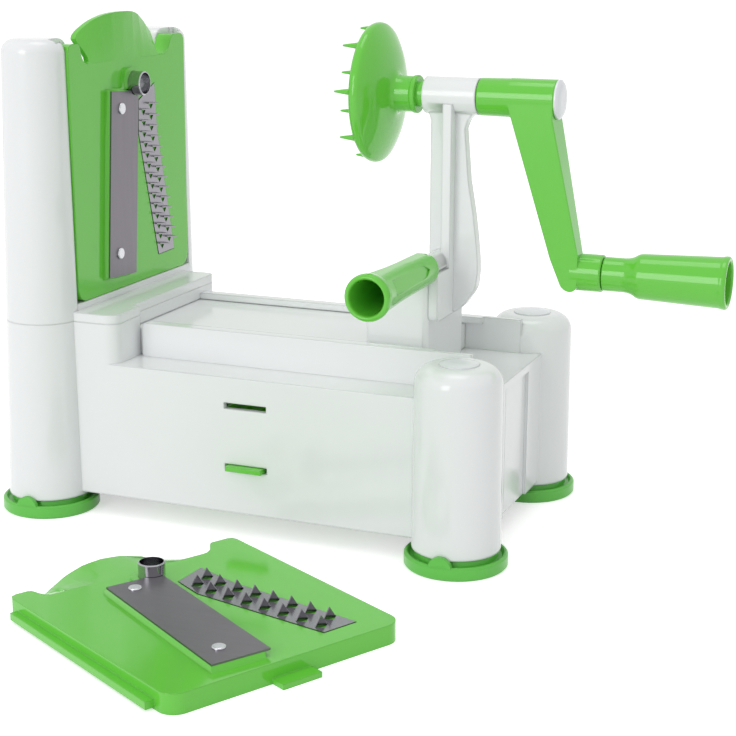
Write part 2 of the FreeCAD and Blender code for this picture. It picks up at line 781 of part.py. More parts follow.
def make_column_cap(name, side):
    edge = COLUMN_TOP - 1
    profile = [
        (edge, 0.0),
        (edge, D.cap_radius),
        (COLUMN_TOP + D.cap_dome * 0.3, D.cap_radius),
        (COLUMN_TOP + D.cap_dome * 0.75, D.cap_radius * 0.75),
        (COLUMN_TOP + D.cap_dome, D.cap_radius * 0.4),
        (COLUMN_TOP + D.cap_dome, 0.0),
    ]
    keep(name, turned(name, "z", profile, x=D.span_x, y=side * D.span_y))


def post_screw_spot(side):
    """Where a post screw goes through the block's wall, as (y, z); side is -1 or 1."""
    y = D.post_screw_inset - D.post_foot_front if side < 0 else D.post_foot_back - D.post_screw_inset
    return y, D.block_top - D.post_screw_drop


def make_carriage():
    """The tray that slides under the lips, with the hollow block at its crank end."""
    wall = D.tray_wall
    tray = box("tray", (-D.tray_left, -TRAY_HALF, TRAY_LOW), (D.tray_right, TRAY_HALF, TRAY_TOP))
    block = box("block", (D.block_left, -D.block_half, TRAY_LOW), (D.block_right, D.block_half, D.block_top))
    top = float(D.block_top)
    block = rounded(
        "block_rounded",
        block,
        D.block_round,
        lambda edge: level(edge, top) or edge.BoundBox.ZLength > 5,
    )
    hollow = box(
        "tray_hollow",
        (-D.tray_left + wall, -TRAY_HALF + wall, 0.0),
        (D.tray_right - wall, TRAY_HALF - wall, TRAY_TOP - wall),
    )
    inner = box(
        "block_hollow",
        (D.block_left + wall, -D.block_half + wall, 0.0),
        (D.block_right - wall, D.block_half - wall, D.block_top - wall),
    )
    tools = [hollow, inner]
    for side in (-1, 1):
        hole = D.screw_radius + D.press_gap
        y, z = post_screw_spot(side)
        start = D.block_right - wall - 1
        tools.append(rod(f"block_hole_{side + 1}", hole, start, D.block_right + 1, "x", y=y, z=z))
    keep("carriage", cut("carriage_cut", join("carriage_solid", tray, block), *tools))


def make_post():
    """The crank post: foot plate, rib, web, bearing tube and handle spigot."""
    body = new_body("crank_post")
    plate = sketch(body, "post_plate", "YZ_Plane", D.block_right)
    front = -D.post_foot_front
    back = D.post_foot_back
    rib = D.post_rib_half
    low = D.post_foot_low
    high = D.post_foot_top
    top = D.axis_height - 3
    outline(plate, [
        (front, low), (back, low), (back, high), (rib, high),
        (rib, top), (-rib, top), (-rib, high), (front, high),
    ])
    foot = pad(body, plate, D.plate_web)
    lowest = float(low)
    soften(body, foot, D.post_foot_round, lambda edge: edge.BoundBox.XLength > 1
           and abs(edge.BoundBox.ZMax - lowest) < 0.01)
    web = sketch(body, "post_web", "XZ_Plane")
    left = D.post_web_left
    base = D.block_top + D.slide_gap
    face = D.block_right + D.plate_web
    belly = D.post_web_belly
    widest = D.belly_height
    axis = D.axis_height
    neck = D.post_web_neck
    outline(web, [
        (left, base), (D.block_right + 1, base), (D.block_right + 1, low + 1),
        (face, low + 0.6), (face + 3.3, low + 2.2), (belly - 5.6, low + 4.4), (belly - 3.7, widest - 13),
        (belly - 1.8, widest - 10.2), (belly - 0.6, widest - 7.3), (belly, widest - 1.1),
        (belly - 0.1, widest + 3.4), (belly - 0.6, widest + 8.9), (belly - 1.6, widest + 17.6),
        (belly - 2.7, widest + 25.5), (belly - 5.0, widest + 38.5), (neck, axis - 14),
        (neck + 1.2, axis - 10.5), (neck + 4.2, axis - 6.5), (left - 2.4, axis - 6.5),
        (left - 0.7, axis - 8.4), (left, axis - 11),
    ])
    pad(body, web, D.post_web_half * 2, both=True)
    tube = sketch(body, "post_tube", "YZ_Plane", D.tube_left)
    circle(tube, 0.0, axis, D.tube_radius)
    pad(body, tube, D.tube_length)
    spigot = sketch(body, "handle_spigot", "XZ_Plane", D.post_web_half - 0.5)
    circle(spigot, D.handle_x, HANDLE_HEIGHT, D.spigot_radius)
    pad(body, spigot, D.spigot_length - HANDLE_ROOT - D.post_web_half + 0.5)
    bore = sketch(body, "post_bore", "YZ_Plane", D.tube_left - 1)
    circle(bore, 0.0, D.axis_height, BORE)
    pocket(body, bore, D.tube_length + 2, flip=True)
    holes = sketch(body, "post_screw_holes", "YZ_Plane", D.block_right)
    for side in (-1, 1):
        y, z = post_screw_spot(side)
        circle(holes, y, z, D.screw_radius + D.press_gap)
    pocket(body, holes, D.plate_web - 0.6, flip=True)
    end = sketch(body, "spigot_screw_hole", "XZ_Plane", -HANDLE_ROOT)
    circle(end, D.handle_x, HANDLE_HEIGHT, D.screw_radius + D.press_gap)
    pocket(body, end, D.spigot_length + 1, flip=True)
    keep("crank_post", body)


def make_post_screws():
    start = D.block_right - D.tray_wall
    tip = D.block_right + D.plate_web - 0.8
    screws = []
    for i, side in enumerate((-1, 1)):
        y, z = post_screw_spot(side)
        screws.append(screw(f"post_screw_{i}", start, tip, "x", y=y, z=z))
    keep("post_screws", compound("post_screws_group", screws))


def make_handle():
    """The hollow side handle that fits over the post's spigot, and its screw."""
    root = HANDLE_ROOT
    tip = root - D.handle_length
    seat = root - D.spigot_length - 1
    floor = seat - 2.2
    profile = [
        (root, D.spigot_radius + D.press_gap),
        (root, D.handle_root_radius),
        (tip + 14, D.handle_grip_radius),
        (tip + 5, D.handle_grip_radius + 0.5),
        (tip + 2.2, D.handle_rim_radius),
        (tip + 0.7, D.handle_rim_radius),
        (tip, D.handle_rim_radius - 0.7),
        (tip, D.handle_bore_radius + 0.5),
        (tip + 1.5, D.handle_bore_radius),
        (floor, D.handle_root_radius - 1.9),
        (floor, D.screw_radius + 0.1),
        (seat, D.screw_radius + 0.1),
        (seat, D.spigot_radius + D.press_gap),
    ]
    keep("side_handle", turned("side_handle", "y", profile, x=D.handle_x, z=HANDLE_HEIGHT))
    end = root - 1
    keep("handle_screw", screw("handle_screw_solid", floor, end, "y", x=D.handle_x, z=HANDLE_HEIGHT))


def spike_ring(body, name, profile, root, ring, turn, tip):
    """Adds eight spikes round the wheel's axis, the first turned from straight up."""
    spike = sketch(body, f"{name}_spike", "XZ_Plane")
    spike.AttachmentOffset = FreeCAD.Placement(V(), FreeCAD.Rotation(V(1, 0, 0), turn))
    outline(spike, [
        (root, ring - D.spike_radius),
        (root, ring + D.spike_radius),
        (tip, ring + 0.35),
        (tip, ring - 0.35),
    ])
    first = body.newObject("PartDesign::Pad", f"{name}_first_spike")
    first.Profile = spike
    first.SideType = "Symmetric"
    bind(first, "Length", D.spike_radius)
    pattern = body.newObject("PartDesign::PolarPattern", f"{name}_spikes")
    pattern.Originals = [first]
    pattern.Axis = (profile, ["H_Axis"])
    pattern.Angle = 360
    pattern.Occurrences = 8
    body.Tip = pattern


def make_wheel():
    """The spiked wheel: a dish on a hub, with two rings of spikes towards the blade."""
    rim = D.wheel_x
    radius = D.wheel_radius
    hub = D.wheel_hub_radius
    end = D.wheel_hub_end
    bore = D.shaft_radius + D.press_gap
    profile = [
        (rim + 2.2, 0.0),
        (rim + 1.6, 9.0),
        (rim - 0.6, radius - 8.3),
        (rim - 2.0, radius - 4.2),
        (rim - 2.4, radius - 1.4),
        (rim - 1.2, radius - 0.2),
        (rim, radius),
        (rim + 1.4, radius - 0.3),
        (rim + 2.8, radius - 2.0),
        (rim + 5.4, radius - 7.3),
        (rim + 7.6, 14.0),
        (rim + 8.6, hub + 1.4),
        (rim + 10.4, hub),
        (end - 2.2, hub),
        (end - 2.0, hub + 0.6),
        (end, hub + 0.6),
        (end, hub - 2.2),
        (D.tube_left - D.slide_gap, hub - 2.2),
        (D.tube_left - D.slide_gap, bore),
        (rim + 6.0, bore),
        (rim + 6.0, 0.0),
    ]
    body = new_body("spiked_wheel")
    drawing = sketch(body, "wheel_profile", "XZ_Plane")
    outline(drawing, profile)
    revolve(body, drawing, "H_Axis")
    root = rim - 1.5
    ring = radius - D.spike_inset
    spike_ring(body, "outer", drawing, root, ring, 0.0, root - D.spike_length)
    spike_ring(body, "inner", drawing, root + D.spike_step, ring - D.spike_pitch, 22.5, root - D.spike_length)
    body.Placement = FreeCAD.Placement(V(), FreeCAD.Rotation(V(1, 0, 0), 5))
    bind(body, "Placement.Base.z", D.axis_height)
    keep("spiked_wheel", body)


def make_shaft():
    """The steel shaft that carries the wheel and the crank, tapped for the crank screw."""
    left = D.wheel_x + 6.3
    right = D.hub_end - 6
    solid = rod("shaft_rod", D.shaft_radius, left, right, "x", z=D.axis_height)
    hole = rod("shaft_tap", D.screw_radius + D.press_gap, right - 13, right + 1, "x", z=D.axis_height)
    keep("drive_shaft", cut("shaft_cut", solid, hole))
    start = D.hub_end - 5.4
    keep("crank_screw", screw("crank_screw_solid", start, right - 12, "x", z=D.axis_height, way=-1))


def make_crank_arm():
    """The crank: hub on the shaft, the arm and the stub for the knob pin."""
    body = new_body("crank_arm")
    arm = sketch(body, "arm_outline", "XZ_Plane")
    high = D.axis_height
    low = KNOB_HEIGHT
    outline(arm, [
        (D.hub_end - 20.5, high - 2),
        (D.hub_end, high - 2),
        (D.hub_end, high - 8.4),
        (D.stub_start + 6.6, low + D.stub_radius - 0.4),
        (D.stub_start + 6.6, low - D.stub_radius + 0.3),
        (D.stub_start + 0.3, low - D.stub_radius + 0.3),
        (D.stub_start - 5.7, low + 6.0),
    ])
    pad(body, arm, D.arm_half * 2, both=True)
    back = sketch(body, "arm_taper", "YZ_Plane")
    outline(back, [
        (D.arm_half, high - 9), (D.arm_half + 2, high - 9), (D.arm_half + 2, low - D.stub_radius - 2),
        (D.arm_back, low - D.stub_radius - 2), (D.arm_back, low + 6.0),
    ])
    bar = pocket(body, back, D.hub_end * 4, both=True)
    front = -float(D.arm_half)
    soften(body, bar, 2.4, lambda edge: edge.BoundBox.YMax < front + 0.01
           and edge.Length > 20 and edge.BoundBox.ZLength > 10)
    hub = sketch(body, "hub_circle", "YZ_Plane", TUBE_RIGHT + D.slide_gap)
    circle(hub, 0.0, high, D.hub_radius)
    pad(body, hub, D.hub_end - TUBE_RIGHT - D.slide_gap)
    stub = sketch(body, "stub_circle", "YZ_Plane", D.stub_start)
    circle(stub, 0.0, low, D.stub_radius)
    pad(body, stub, D.stub_end - D.stub_start)
    bore = sketch(body, "hub_bore", "YZ_Plane", TUBE_RIGHT - 1)
    circle(bore, 0.0, high, D.shaft_radius + D.press_gap)
    pocket(body, bore, D.hub_end - 5.4 - TUBE_RIGHT + 1 - 0.4, flip=True)
    recess = sketch(body, "hub_recess", "YZ_Plane", D.hub_end)
    circle(recess, 0.0, high, 5.6)
    pocket(body, recess, 5.4)
    tapped = sketch(body, "hub_screw_hole", "YZ_Plane", D.hub_end - 5.4)
    circle(tapped, 0.0, high, D.screw_radius + D.press_gap)
    pocket(body, tapped, 1.0)
    hole = sketch(body, "pin_hole", "YZ_Plane", D.stub_end)
    circle(hole, 0.0, low, D.pin_radius + D.press_gap)
    pocket(body, hole, D.stub_end - D.stub_start - 2)
    keep("crank_arm", body)


def make_crank_cap():
    """The domed cap in the hub's end."""
    start = D.hub_end
    profile = [
        (start - 2.6, 0.0),
        (start - 2.6, 5.6 - D.press_gap),
        (start, 5.6 - D.press_gap),
        (start, D.hub_radius),
        (start + D.cap_rise * 0.4, D.hub_radius),
        (start + D.cap_rise * 0.8, D.hub_radius - 1.4),
        (start + D.cap_rise, D.hub_radius - 4.2),
        (start + D.cap_rise, 0.0),
    ]
    keep("crank_cap", turned("crank_cap", "x", profile, z=D.axis_height))


def make_knob():
    """The turning knob, its steel pin and the ring that keeps it on."""
    start = D.stub_end + D.slide_gap
    end = start + D.knob_length
    bore = D.pin_radius + D.running_gap
    floor = end - D.knob_hollow_depth
    profile = [
        (start, bore),
        (start, D.knob_neck_radius - 0.5),
        (start + 0.6, D.knob_neck_radius),
        (start + 9.0, D.knob_neck_radius),
        (start + 12.0, D.knob_neck_radius + 0.7),
        (start + 14.5, D.knob_grip_radius - 0.4),
        (start + 16.5, D.knob_grip_radius),
        (end - 1.0, D.knob_end_radius),
        (end, D.knob_end_radius - 0.8),
        (end, D.knob_hollow_radius + 0.6),
        (end - 0.8, D.knob_hollow_radius),
        (floor, D.knob_hollow_radius - 0.4),
        (floor, bore),
    ]
    keep("knob_grip", turned("knob_grip", "x", profile, z=KNOB_HEIGHT))
    pin_end = floor + 3.2
    pin = rod("pin_rod", D.pin_radius, D.stub_start + 2.4, pin_end, "x", z=KNOB_HEIGHT)
    keep("knob_pin", pin)
    inner = D.pin_radius + D.press_gap
    ring = [
        (floor + D.slide_gap, inner),
        (floor + D.slide_gap, 6.4),
        (floor + D.slide_gap + 1.4, 6.4),
        (floor + D.slide_gap + 1.4, inner),
    ]
    keep("knob_clip", turned("knob_clip", "x", ring, z=KNOB_HEIGHT))


# Blade plates. Each is drawn standing: its back lies in the YZ plane, its face looks
# to +X, its bottom edge is at Z = 0 and it is centred on Y = 0.

BLADE_BASE = D.plate_depth + D.bed_rise
BLADE_TOP = RING_HEIGHT - D.blade_drop
COMB_BASE = D.plate_depth - D.comb_sink


def blade_corners(inset=0.0, grow=0.0):
    """The straight blade's corners as (y, z), inset at its edge and grown elsewhere."""
    edge = D.blade_edge
    lean = D.blade_lean
    width = D.blade_width
    return [
        (edge - lean - inset, D.blade_low - grow),
        (edge - inset, BLADE_TOP - 1.5 + grow),
        (edge - width - grow, BLADE_TOP + grow),
        (edge - lean - width - grow, D.blade_low + 1.5 - grow),
    ]


def comb_corners(grow=0.0):
    """The comb strip's corners on the plate, as (y, z), grown by a margin."""
    low = D.blade_low + 4
    bend = BLADE_TOP - D.comb_bend
    near = D.comb_foot_near
    far = D.comb_foot_far
    return [
        (near - grow, low - grow),
        (far + grow, low + 0.4 - grow),
        (far - 14.0 + grow, bend),
        (far - 15.4 + grow, BLADE_TOP + 0.4 + grow),
        (near - 15.0 - grow, BLADE_TOP - 6.6 + grow),
        (near - 16.0 - grow, bend),
    ]


def stud_spots():
    """Places of the two studs on the straight blade."""
    middle = D.blade_edge - D.blade_width * 0.64
    return [
        (middle - D.blade_lean * 0.84, D.blade_low + 11.6),
        (middle - D.blade_lean * 0.1, BLADE_TOP - 8.4),
    ]


def blade_bed(body, name):
    """Adds the raised bed of the straight blade and the boss beside the coring ring."""
    foot = sketch(body, f"{name}_bed_foot", "YZ_Plane", D.plate_depth - 0.5)
    crown = sketch(body, f"{name}_bed_crown", "YZ_Plane", BLADE_BASE)
    outline(foot, blade_corners(D.bed_inset, D.bed_draft))
    outline(crown, blade_corners(D.bed_inset))
    bed = body.newObject("PartDesign::AdditiveLoft", f"{name}_bed")
    bed.Profile = foot
    bed.Sections = [crown]
    bed.Ruled = True
    boss = sketch(body, f"{name}_boss", "YZ_Plane", D.plate_depth - 0.5)
    reach = D.boss_reach
    outline(boss, [
        (-reach, RING_HEIGHT - 2.4), (0.0, RING_HEIGHT - 2.4), (3.0, RING_HEIGHT), (5.2, RING_HEIGHT + 3.2),
        (3.4, RING_HEIGHT + 6.2), (0.0, RING_HEIGHT + 7.4), (-4.0, RING_HEIGHT + 7.2),
        (1.6 - reach, RING_HEIGHT + 5.6), (0.3 - reach, RING_HEIGHT + 3.2),
    ])
    pad(body, boss, D.bed_rise)


def shifted(points, side):
    """Points of the grip and its notches, (half width, height, share of the shift)."""
    return [(side * Term.of(y) - D.hump_shift * share, z) for y, z, share in points]


def finger_grip(body, name, notch):
    """Adds the finger grip, whose sides bend back from the plate's face."""
    dip = notch[-1][1]
    top = GRIP_TOP
    root = sketch(body, f"{name}_grip_root", "XY_Plane", dip - 1)
    crown = sketch(body, f"{name}_grip_crown", "XY_Plane", top)
    shares = (-1.0, -0.75, -0.5, -0.25, 0.0, 0.25, 0.5, 0.75, 1.0)
    for drawing, bend in ((root, Term.of(0.0)), (crown, D.hump_bend)):
        front = [(D.plate_depth - bend * share ** 2, D.hump_half * share - D.hump_shift) for share in shares]
        outline(drawing, front + [(x - D.plate_wall, y) for x, y in reversed(front)])
    loft = body.newObject("PartDesign::AdditiveLoft", f"{name}_grip")
    loft.Profile = root
    loft.Sections = [crown]
    loft.Ruled = True
    side = notch + [
        (32.0, dip + 0.7, 0.7), (31.2, dip + 2.4, 0.8),
        (32.0, dip + 5.5, 0.9), (33.4, dip + 8.8, 1.0), (33.9, top - 11.0, 1.0), (32.6, top - 9.4, 1.0),
        (30.4, top - 7.8, 1.0), (27.6, top - 6.2, 1.0), (24.8, top - 4.8, 1.0), (21.6, top - 3.4, 1.0),
        (18.2, top - 2.2, 1.0), (14.4, top - 1.2, 1.0), (10.0, top - 0.5, 1.0), (5.0, top - 0.1, 1.0),
    ]
    trim = sketch(body, f"{name}_grip_trim", "YZ_Plane")
    rim = shifted(side, 1) + shifted(side[::-1], -1)
    high = top + 5
    outline(trim, [(rim[0][0], high)] + rim + [(rim[-1][0], high)])
    pocket(body, trim, D.plate_depth * 6, both=True)


def plate_frame(name, with_comb):
    body = new_body(name)
    face = sketch(body, f"{name}_outline", "YZ_Plane")
    half = D.plate_half
    foot = half - D.plate_taper
    top = PLATE_TOP
    dip = top - D.notch_depth
    notch = [
        (43.4, top, 0.3), (42.2, top - 0.8, 0.3), (41.2, top - 2.4, 0.35), (40.2, top - 4.8, 0.45),
        (38.9, dip + 2.2, 0.5), (36.9, dip + 0.4, 0.6), (34.6, dip, 0.6),
    ]
    right = [(foot, 0.0), (half, top - 3), (half - 0.9, top - 0.9), (half - 3, top)] + shifted(notch, 1)
    left = [(-half + 3, top), (-half + 0.9, top - 0.9), (-half, top - 3), (-foot, 0.0)]
    outline(face, right + shifted(notch[::-1], -1) + left)
    block = pad(body, face, D.plate_depth)
    lower = soften(body, block, D.plate_corner, lambda edge: edge.BoundBox.XLength > 5
                   and edge.BoundBox.ZMax < 0.01)
    finger_grip(body, name, notch)
    wall = D.plate_wall
    hollow = sketch(body, f"{name}_hollow", "YZ_Plane")
    inset = 9.5
    outline(hollow, [
        (-foot + wall, inset), (-foot + inset, wall), (foot - inset, wall), (foot - wall, inset),
        (half - wall, dip - wall), (-half + wall, dip - wall),
    ])
    pocket(body, hollow, COMB_BASE - wall, flip=True)
    tongue = sketch(body, f"{name}_tongues", "YZ_Plane", D.tongue_back)
    for side in (-1, 1):
        outline(tongue, [
            (side * (foot - 1.5), D.plate_corner + 2), (side * TONGUE_HALF, D.plate_corner + 2),
            (side * TONGUE_HALF, top - D.tongue_drop), (side * (half - 1.5), top - D.tongue_drop),
        ])
    pad(body, tongue, D.tongue_thick)
    latch = sketch(body, f"{name}_latch", "YZ_Plane")
    outline(latch, [
        (-D.latch_half, -D.latch_reach), (D.latch_half, -D.latch_reach),
        (D.latch_half, wall - 0.2), (-D.latch_half, wall - 0.2),
    ])
    pad(body, latch, D.latch_thick)
    collar = sketch(body, f"{name}_collar", "YZ_Plane", 1.0)
    circle(collar, 0.0, RING_HEIGHT, D.ring_radius + 2.2)
    pad(body, collar, D.plate_depth - 1.5)
    posts = sketch(body, f"{name}_stud_posts", "YZ_Plane", 1.5)
    for y, z in stud_spots():
        circle(posts, y, z, D.stud_shank + 1.8)
    pad(body, posts, D.plate_depth - 3)
    blade_bed(body, name)
    slot = sketch(body, f"{name}_slice_slot", "YZ_Plane", -1.0)
    edge = D.blade_edge
    outline(slot, [
        (edge - D.blade_lean - 1.4, D.blade_low + 4), (edge - D.blade_lean + 1.9, D.blade_low + 4),
        (edge + 1.2, BLADE_TOP - 12), (edge - 2.2, BLADE_TOP - 12),
    ])
    pocket(body, slot, D.plate_depth + 2, flip=True)
    if with_comb:
        strip = sketch(body, f"{name}_comb_recess", "YZ_Plane", COMB_BASE)
        outline(strip, comb_corners(D.recess_gap))
        pocket(body, strip, D.comb_sink + D.bed_rise + 1, flip=True)
    core = sketch(body, f"{name}_core_hole", "YZ_Plane", -1.0)
    circle(core, 0.0, RING_HEIGHT, D.ring_radius + D.press_gap)
    pocket(body, core, BLADE_BASE + 2, flip=True)
    holes = sketch(body, f"{name}_stud_holes", "YZ_Plane")
    for y, z in stud_spots():
        circle(holes, y, z, D.stud_shank + D.press_gap)
    pocket(body, holes, BLADE_BASE + 1, flip=True)
    return body


def straight_blade(name):
    body = new_body(name)
    drawing = sketch(body, f"{name}_outline", "YZ_Plane", BLADE_BASE)
    outline(drawing, blade_corners())
    pad(body, drawing, D.steel)
    clear = sketch(body, f"{name}_ring_bite", "YZ_Plane", BLADE_BASE)
    circle(clear, 0.0, RING_HEIGHT, D.ring_radius + D.recess_gap)
    pocket(body, clear, D.steel + 1, flip=True)
    holes = sketch(body, f"{name}_holes", "YZ_Plane", BLADE_BASE)
    for y, z in stud_spots():
        circle(holes, y, z, D.stud_shank + D.press_gap)
    pocket(body, holes, D.steel + 1, flip=True)
    return body


def comb_teeth(rows):
    """Places and sizes of the teeth in two staggered columns down the strip."""
    low, right, bend_right, top_right, top_left, bend_left = [
        V(0, float(y), float(z)) for y, z in comb_corners()
    ]
    start = (top_left + top_right) * 0.5 + V(0, 0, -4.5)
    knee = (bend_left + bend_right) * 0.5
    end = (low + right) * 0.5 + V(0, 0, 3)
    first_run = (knee - start).Length
    whole = first_run + (end - knee).Length
    for row in range(rows):
        along = whole * (row + 0.5) / rows
        if along < first_run:
            middle = start + (knee - start) * (along / first_run)
        else:
            middle = knee + (end - knee) * ((along - first_run) / (whole - first_run))
        for column in (-1, 1):
            drop = (whole / rows) * (0.22 if column > 0 else -0.22)
            yield middle + V(0, column * 3.6, drop)


def comb_blade(name, rows, width):
    """The comb strip with its bent-up triangular teeth and the holes they leave."""
    base = float(COMB_BASE)
    steel = float(D.steel)
    height = float(D.tooth_height)
    corners = [V(base, float(y), float(z)) for y, z in comb_corners()]
    strip = Part.Face(Part.makePolygon(corners + corners[:1])).extrude(V(steel, 0, 0))
    centre = V(base - 1, 0, float(RING_HEIGHT))
    bite = Part.makeCylinder(float(D.ring_radius + D.recess_gap), steel + 2, centre, V(1, 0, 0))
    solid = strip.cut(bite)
    for spot in comb_teeth(rows):
        left = V(base, spot.y - width / 2, spot.z)
        right = V(base, spot.y + width / 2, spot.z)
        tip = V(base, spot.y, spot.z - height * 0.62)
        hole = Part.Face(Part.makePolygon([left, tip, right, left])).extrude(V(steel, 0, 0))
        solid = solid.cut(hole)
    for spot in comb_teeth(rows):
        left = V(base, spot.y - width / 2, spot.z)
        right = V(base, spot.y + width / 2, spot.z)
        tip = V(base + steel + height, spot.y, spot.z)
        tooth = Part.Face(Part.makePolygon([left, right, tip, left])).extrude(V(0, 0, steel * 0.75))
        solid = solid.fuse(tooth)
    thing = doc.addObject("Part::Feature", name)
    thing.Shape = solid.removeSplitter()
    return thing


def coring_ring(name):
    """The round cutter that leaves a core standing."""
    body = new_body(name)
    drawing = sketch(body, f"{name}_wall", "YZ_Plane", 2.0)
    circle(drawing, 0.0, RING_HEIGHT, D.ring_radius)
    circle(drawing, 0.0, RING_HEIGHT, D.ring_radius - D.ring_wall)
    tube = pad(body, drawing, D.ring_reach - 2.0)
    mouth = float(D.ring_reach)
    outer = float(D.ring_radius)
    soften(body, tube, D.ring_wall * 0.6, lambda edge: abs(edge.BoundBox.XMin - mouth) < 0.01
           and edge.BoundBox.YLength > outer * 1.99, kind="PartDesign::Chamfer")
    return body


def studs(name):
    """Two domed studs that hold the straight blade."""
    pieces = []
    top = BLADE_BASE + D.steel
    for i, (y, z) in enumerate(stud_spots()):
        shank = rod(f"{name}_shank_{i}", D.stud_shank, 1.5, top + 0.2, "x", y=y, z=z)
        head = rod(f"{name}_head_{i}", D.stud_radius, top, top + 0.9, "x", y=y, z=z)
        lip = 0.5
        end = float(top) + 0.9
        solid = join(f"{name}_solid_{i}", shank, head)
        pieces.append(rounded(f"{name}_{i}", solid, lip, lambda edge, end=end: abs(edge.BoundBox.XMin - end) < 0.01
                              and edge.BoundBox.XLength < 0.01))
    return compound(name, pieces)


def standing():
    """Where the installed plate stands, on the tower's sill."""
    return FreeCAD.Placement(V(float(LEFT + D.plate_back), 0, float(SILL_TOP + D.slide_gap)), FreeCAD.Rotation())


def axes(x_axis, y_axis, z_axis, base):
    """A placement that sends the plate's own axes to the given directions."""
    matrix = FreeCAD.Matrix(
        x_axis.x, y_axis.x, z_axis.x, base.x,
        x_axis.y, y_axis.y, z_axis.y, base.y,
        x_axis.z, y_axis.z, z_axis.z, base.z,
        0, 0, 0, 1,
    )
    return FreeCAD.Placement(matrix)


def stored():
    """Where the stored plate lies in the lower bay: face down, grip to the back."""
    front = -D.box_half_y + D.box_wall + D.slide_gap
    base = V(float(D.bay_x), float(front), float(D.bay_low))
    return axes(V(0, 0, -1), V(-1, 0, 0), V(0, 1, 0), base)


def loose():
    """Where the loose plate lies on the table: face up, in front of the base."""
    turn = math.radians(float(D.loose_turn))
    up_plate = V(-math.cos(turn), math.sin(turn), 0)
    across = V(math.sin(turn), math.cos(turn), 0)
    return axes(V(0, 0, 1), across, up_plate, V(float(D.loose_x), -float(D.loose_y), 0))


def blade_set(tag, where, rows=0, width=0.0):
    """One blade plate with all that is fixed to it, set down at a placement."""
    pieces = {
        f"{tag}_plate": plate_frame(f"{tag}_plate", rows > 0),
        f"{tag}_straight_blade": straight_blade(f"{tag}_straight_blade"),
        f"{tag}_coring_ring": coring_ring(f"{tag}_coring_ring"),
        f"{tag}_blade_studs": studs(f"{tag}_blade_studs"),
    }
    if rows:
        pieces[f"{tag}_comb_blade"] = comb_blade(f"{tag}_comb_blade", rows, width)
    for name, thing in pieces.items():
        thing.Placement = where
        keep(name, thing)


def check_and_write():
    """Stops on any failed object, then writes one file for each sub-part."""
    doc.recompute()
    for thing in doc.Objects:
        state = thing.State
        if "Invalid" in state or "Error" in state:
            raise RuntimeError(f"{thing.Name} failed: {state}")
    os.makedirs("parts", exist_ok=True)
    for name, thing in parts.items():
        shape = thing.Shape
        if shape.isNull() or not shape.isValid() or not shape.Solids:
            raise RuntimeError(f"{name} has no valid solid")
    for name, thing in parts.items():
        thing.Shape.exportStep(f"parts/{name}.step")
        bounds = thing.Shape.BoundBox
        print(f"{name}: {len(thing.Shape.Solids)} solid(s), {thing.Shape.Volume / 1000:.2f} cm3, "
              f"z {bounds.ZMin:.1f} to {bounds.ZMax:.1f}")


make_base()
make_tower()
make_tower_screws()
make_feet()
make_column_cap("column_cap_front", -1)
make_column_cap("column_cap_back", 1)
make_carriage()
make_post()
make_post_screws()
make_handle()
make_wheel()
make_shaft()
make_crank_arm()
make_crank_cap()
make_knob()
blade_set("installed", standing(), rows=14, width=4.6)
blade_set("stored", stored())
blade_set("loose", loose(), rows=8, width=6.4)
check_and_write()
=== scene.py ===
"""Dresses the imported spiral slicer: finishes, detailed pieces, studio and camera."""

import json
import logging
import math
from collections.abc import Callable, Sequence
from dataclasses import dataclass
from enum import Enum

import bmesh
import bpy
from mathutils import Matrix, Vector

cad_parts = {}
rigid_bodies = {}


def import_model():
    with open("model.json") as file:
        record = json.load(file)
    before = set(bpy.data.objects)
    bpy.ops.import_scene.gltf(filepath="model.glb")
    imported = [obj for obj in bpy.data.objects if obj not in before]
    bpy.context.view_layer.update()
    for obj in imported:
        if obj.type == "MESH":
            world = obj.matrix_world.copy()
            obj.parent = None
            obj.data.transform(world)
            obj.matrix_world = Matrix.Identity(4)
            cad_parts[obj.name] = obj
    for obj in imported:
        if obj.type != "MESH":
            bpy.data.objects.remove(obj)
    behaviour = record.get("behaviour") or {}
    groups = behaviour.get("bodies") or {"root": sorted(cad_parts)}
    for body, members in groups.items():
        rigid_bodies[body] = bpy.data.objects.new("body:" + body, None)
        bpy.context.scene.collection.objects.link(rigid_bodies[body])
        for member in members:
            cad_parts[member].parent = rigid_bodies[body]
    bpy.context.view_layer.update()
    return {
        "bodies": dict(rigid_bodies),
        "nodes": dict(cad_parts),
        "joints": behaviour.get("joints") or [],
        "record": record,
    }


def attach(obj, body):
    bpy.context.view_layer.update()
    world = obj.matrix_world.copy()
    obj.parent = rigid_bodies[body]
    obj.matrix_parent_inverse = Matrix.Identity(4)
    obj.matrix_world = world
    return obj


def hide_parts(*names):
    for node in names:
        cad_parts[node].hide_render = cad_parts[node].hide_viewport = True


logging.basicConfig(level=logging.INFO, format="%(message)s")
log = logging.getLogger("spiral_slicer")

Colour = tuple[float, float, float]
Profile = Sequence[tuple[float, float]]
MM = 0.001
MERGE_DISTANCE = 1e-4
COPY_MERGE_DISTANCE = 1e-3
FLAT_ANGLE = math.radians(0.2)
FINE_GRAIN = 22
RELIEF_DEPTH = 0.0002
FINE_STEPS = 128
EDGE_SAMPLES = 6
COAT_ROUGHNESS = 0.04


def linear(red: int, green: int, blue: int) -> Colour:
    """Turn an 8-bit display colour into the linear colour that a shader takes.

    Args:
        red: Red from 0 to 255.
        green: Green from 0 to 255.
        blue: Blue from 0 to 255.

    Returns:
        The linear colour.
    """

    def one(value: int) -> float:
        """Turn one channel."""
        share = value / 255
        return share / 12.92 if share <= 0.04045 else ((share + 0.055) / 1.055) ** 2.4

    return one(red), one(green), one(blue)


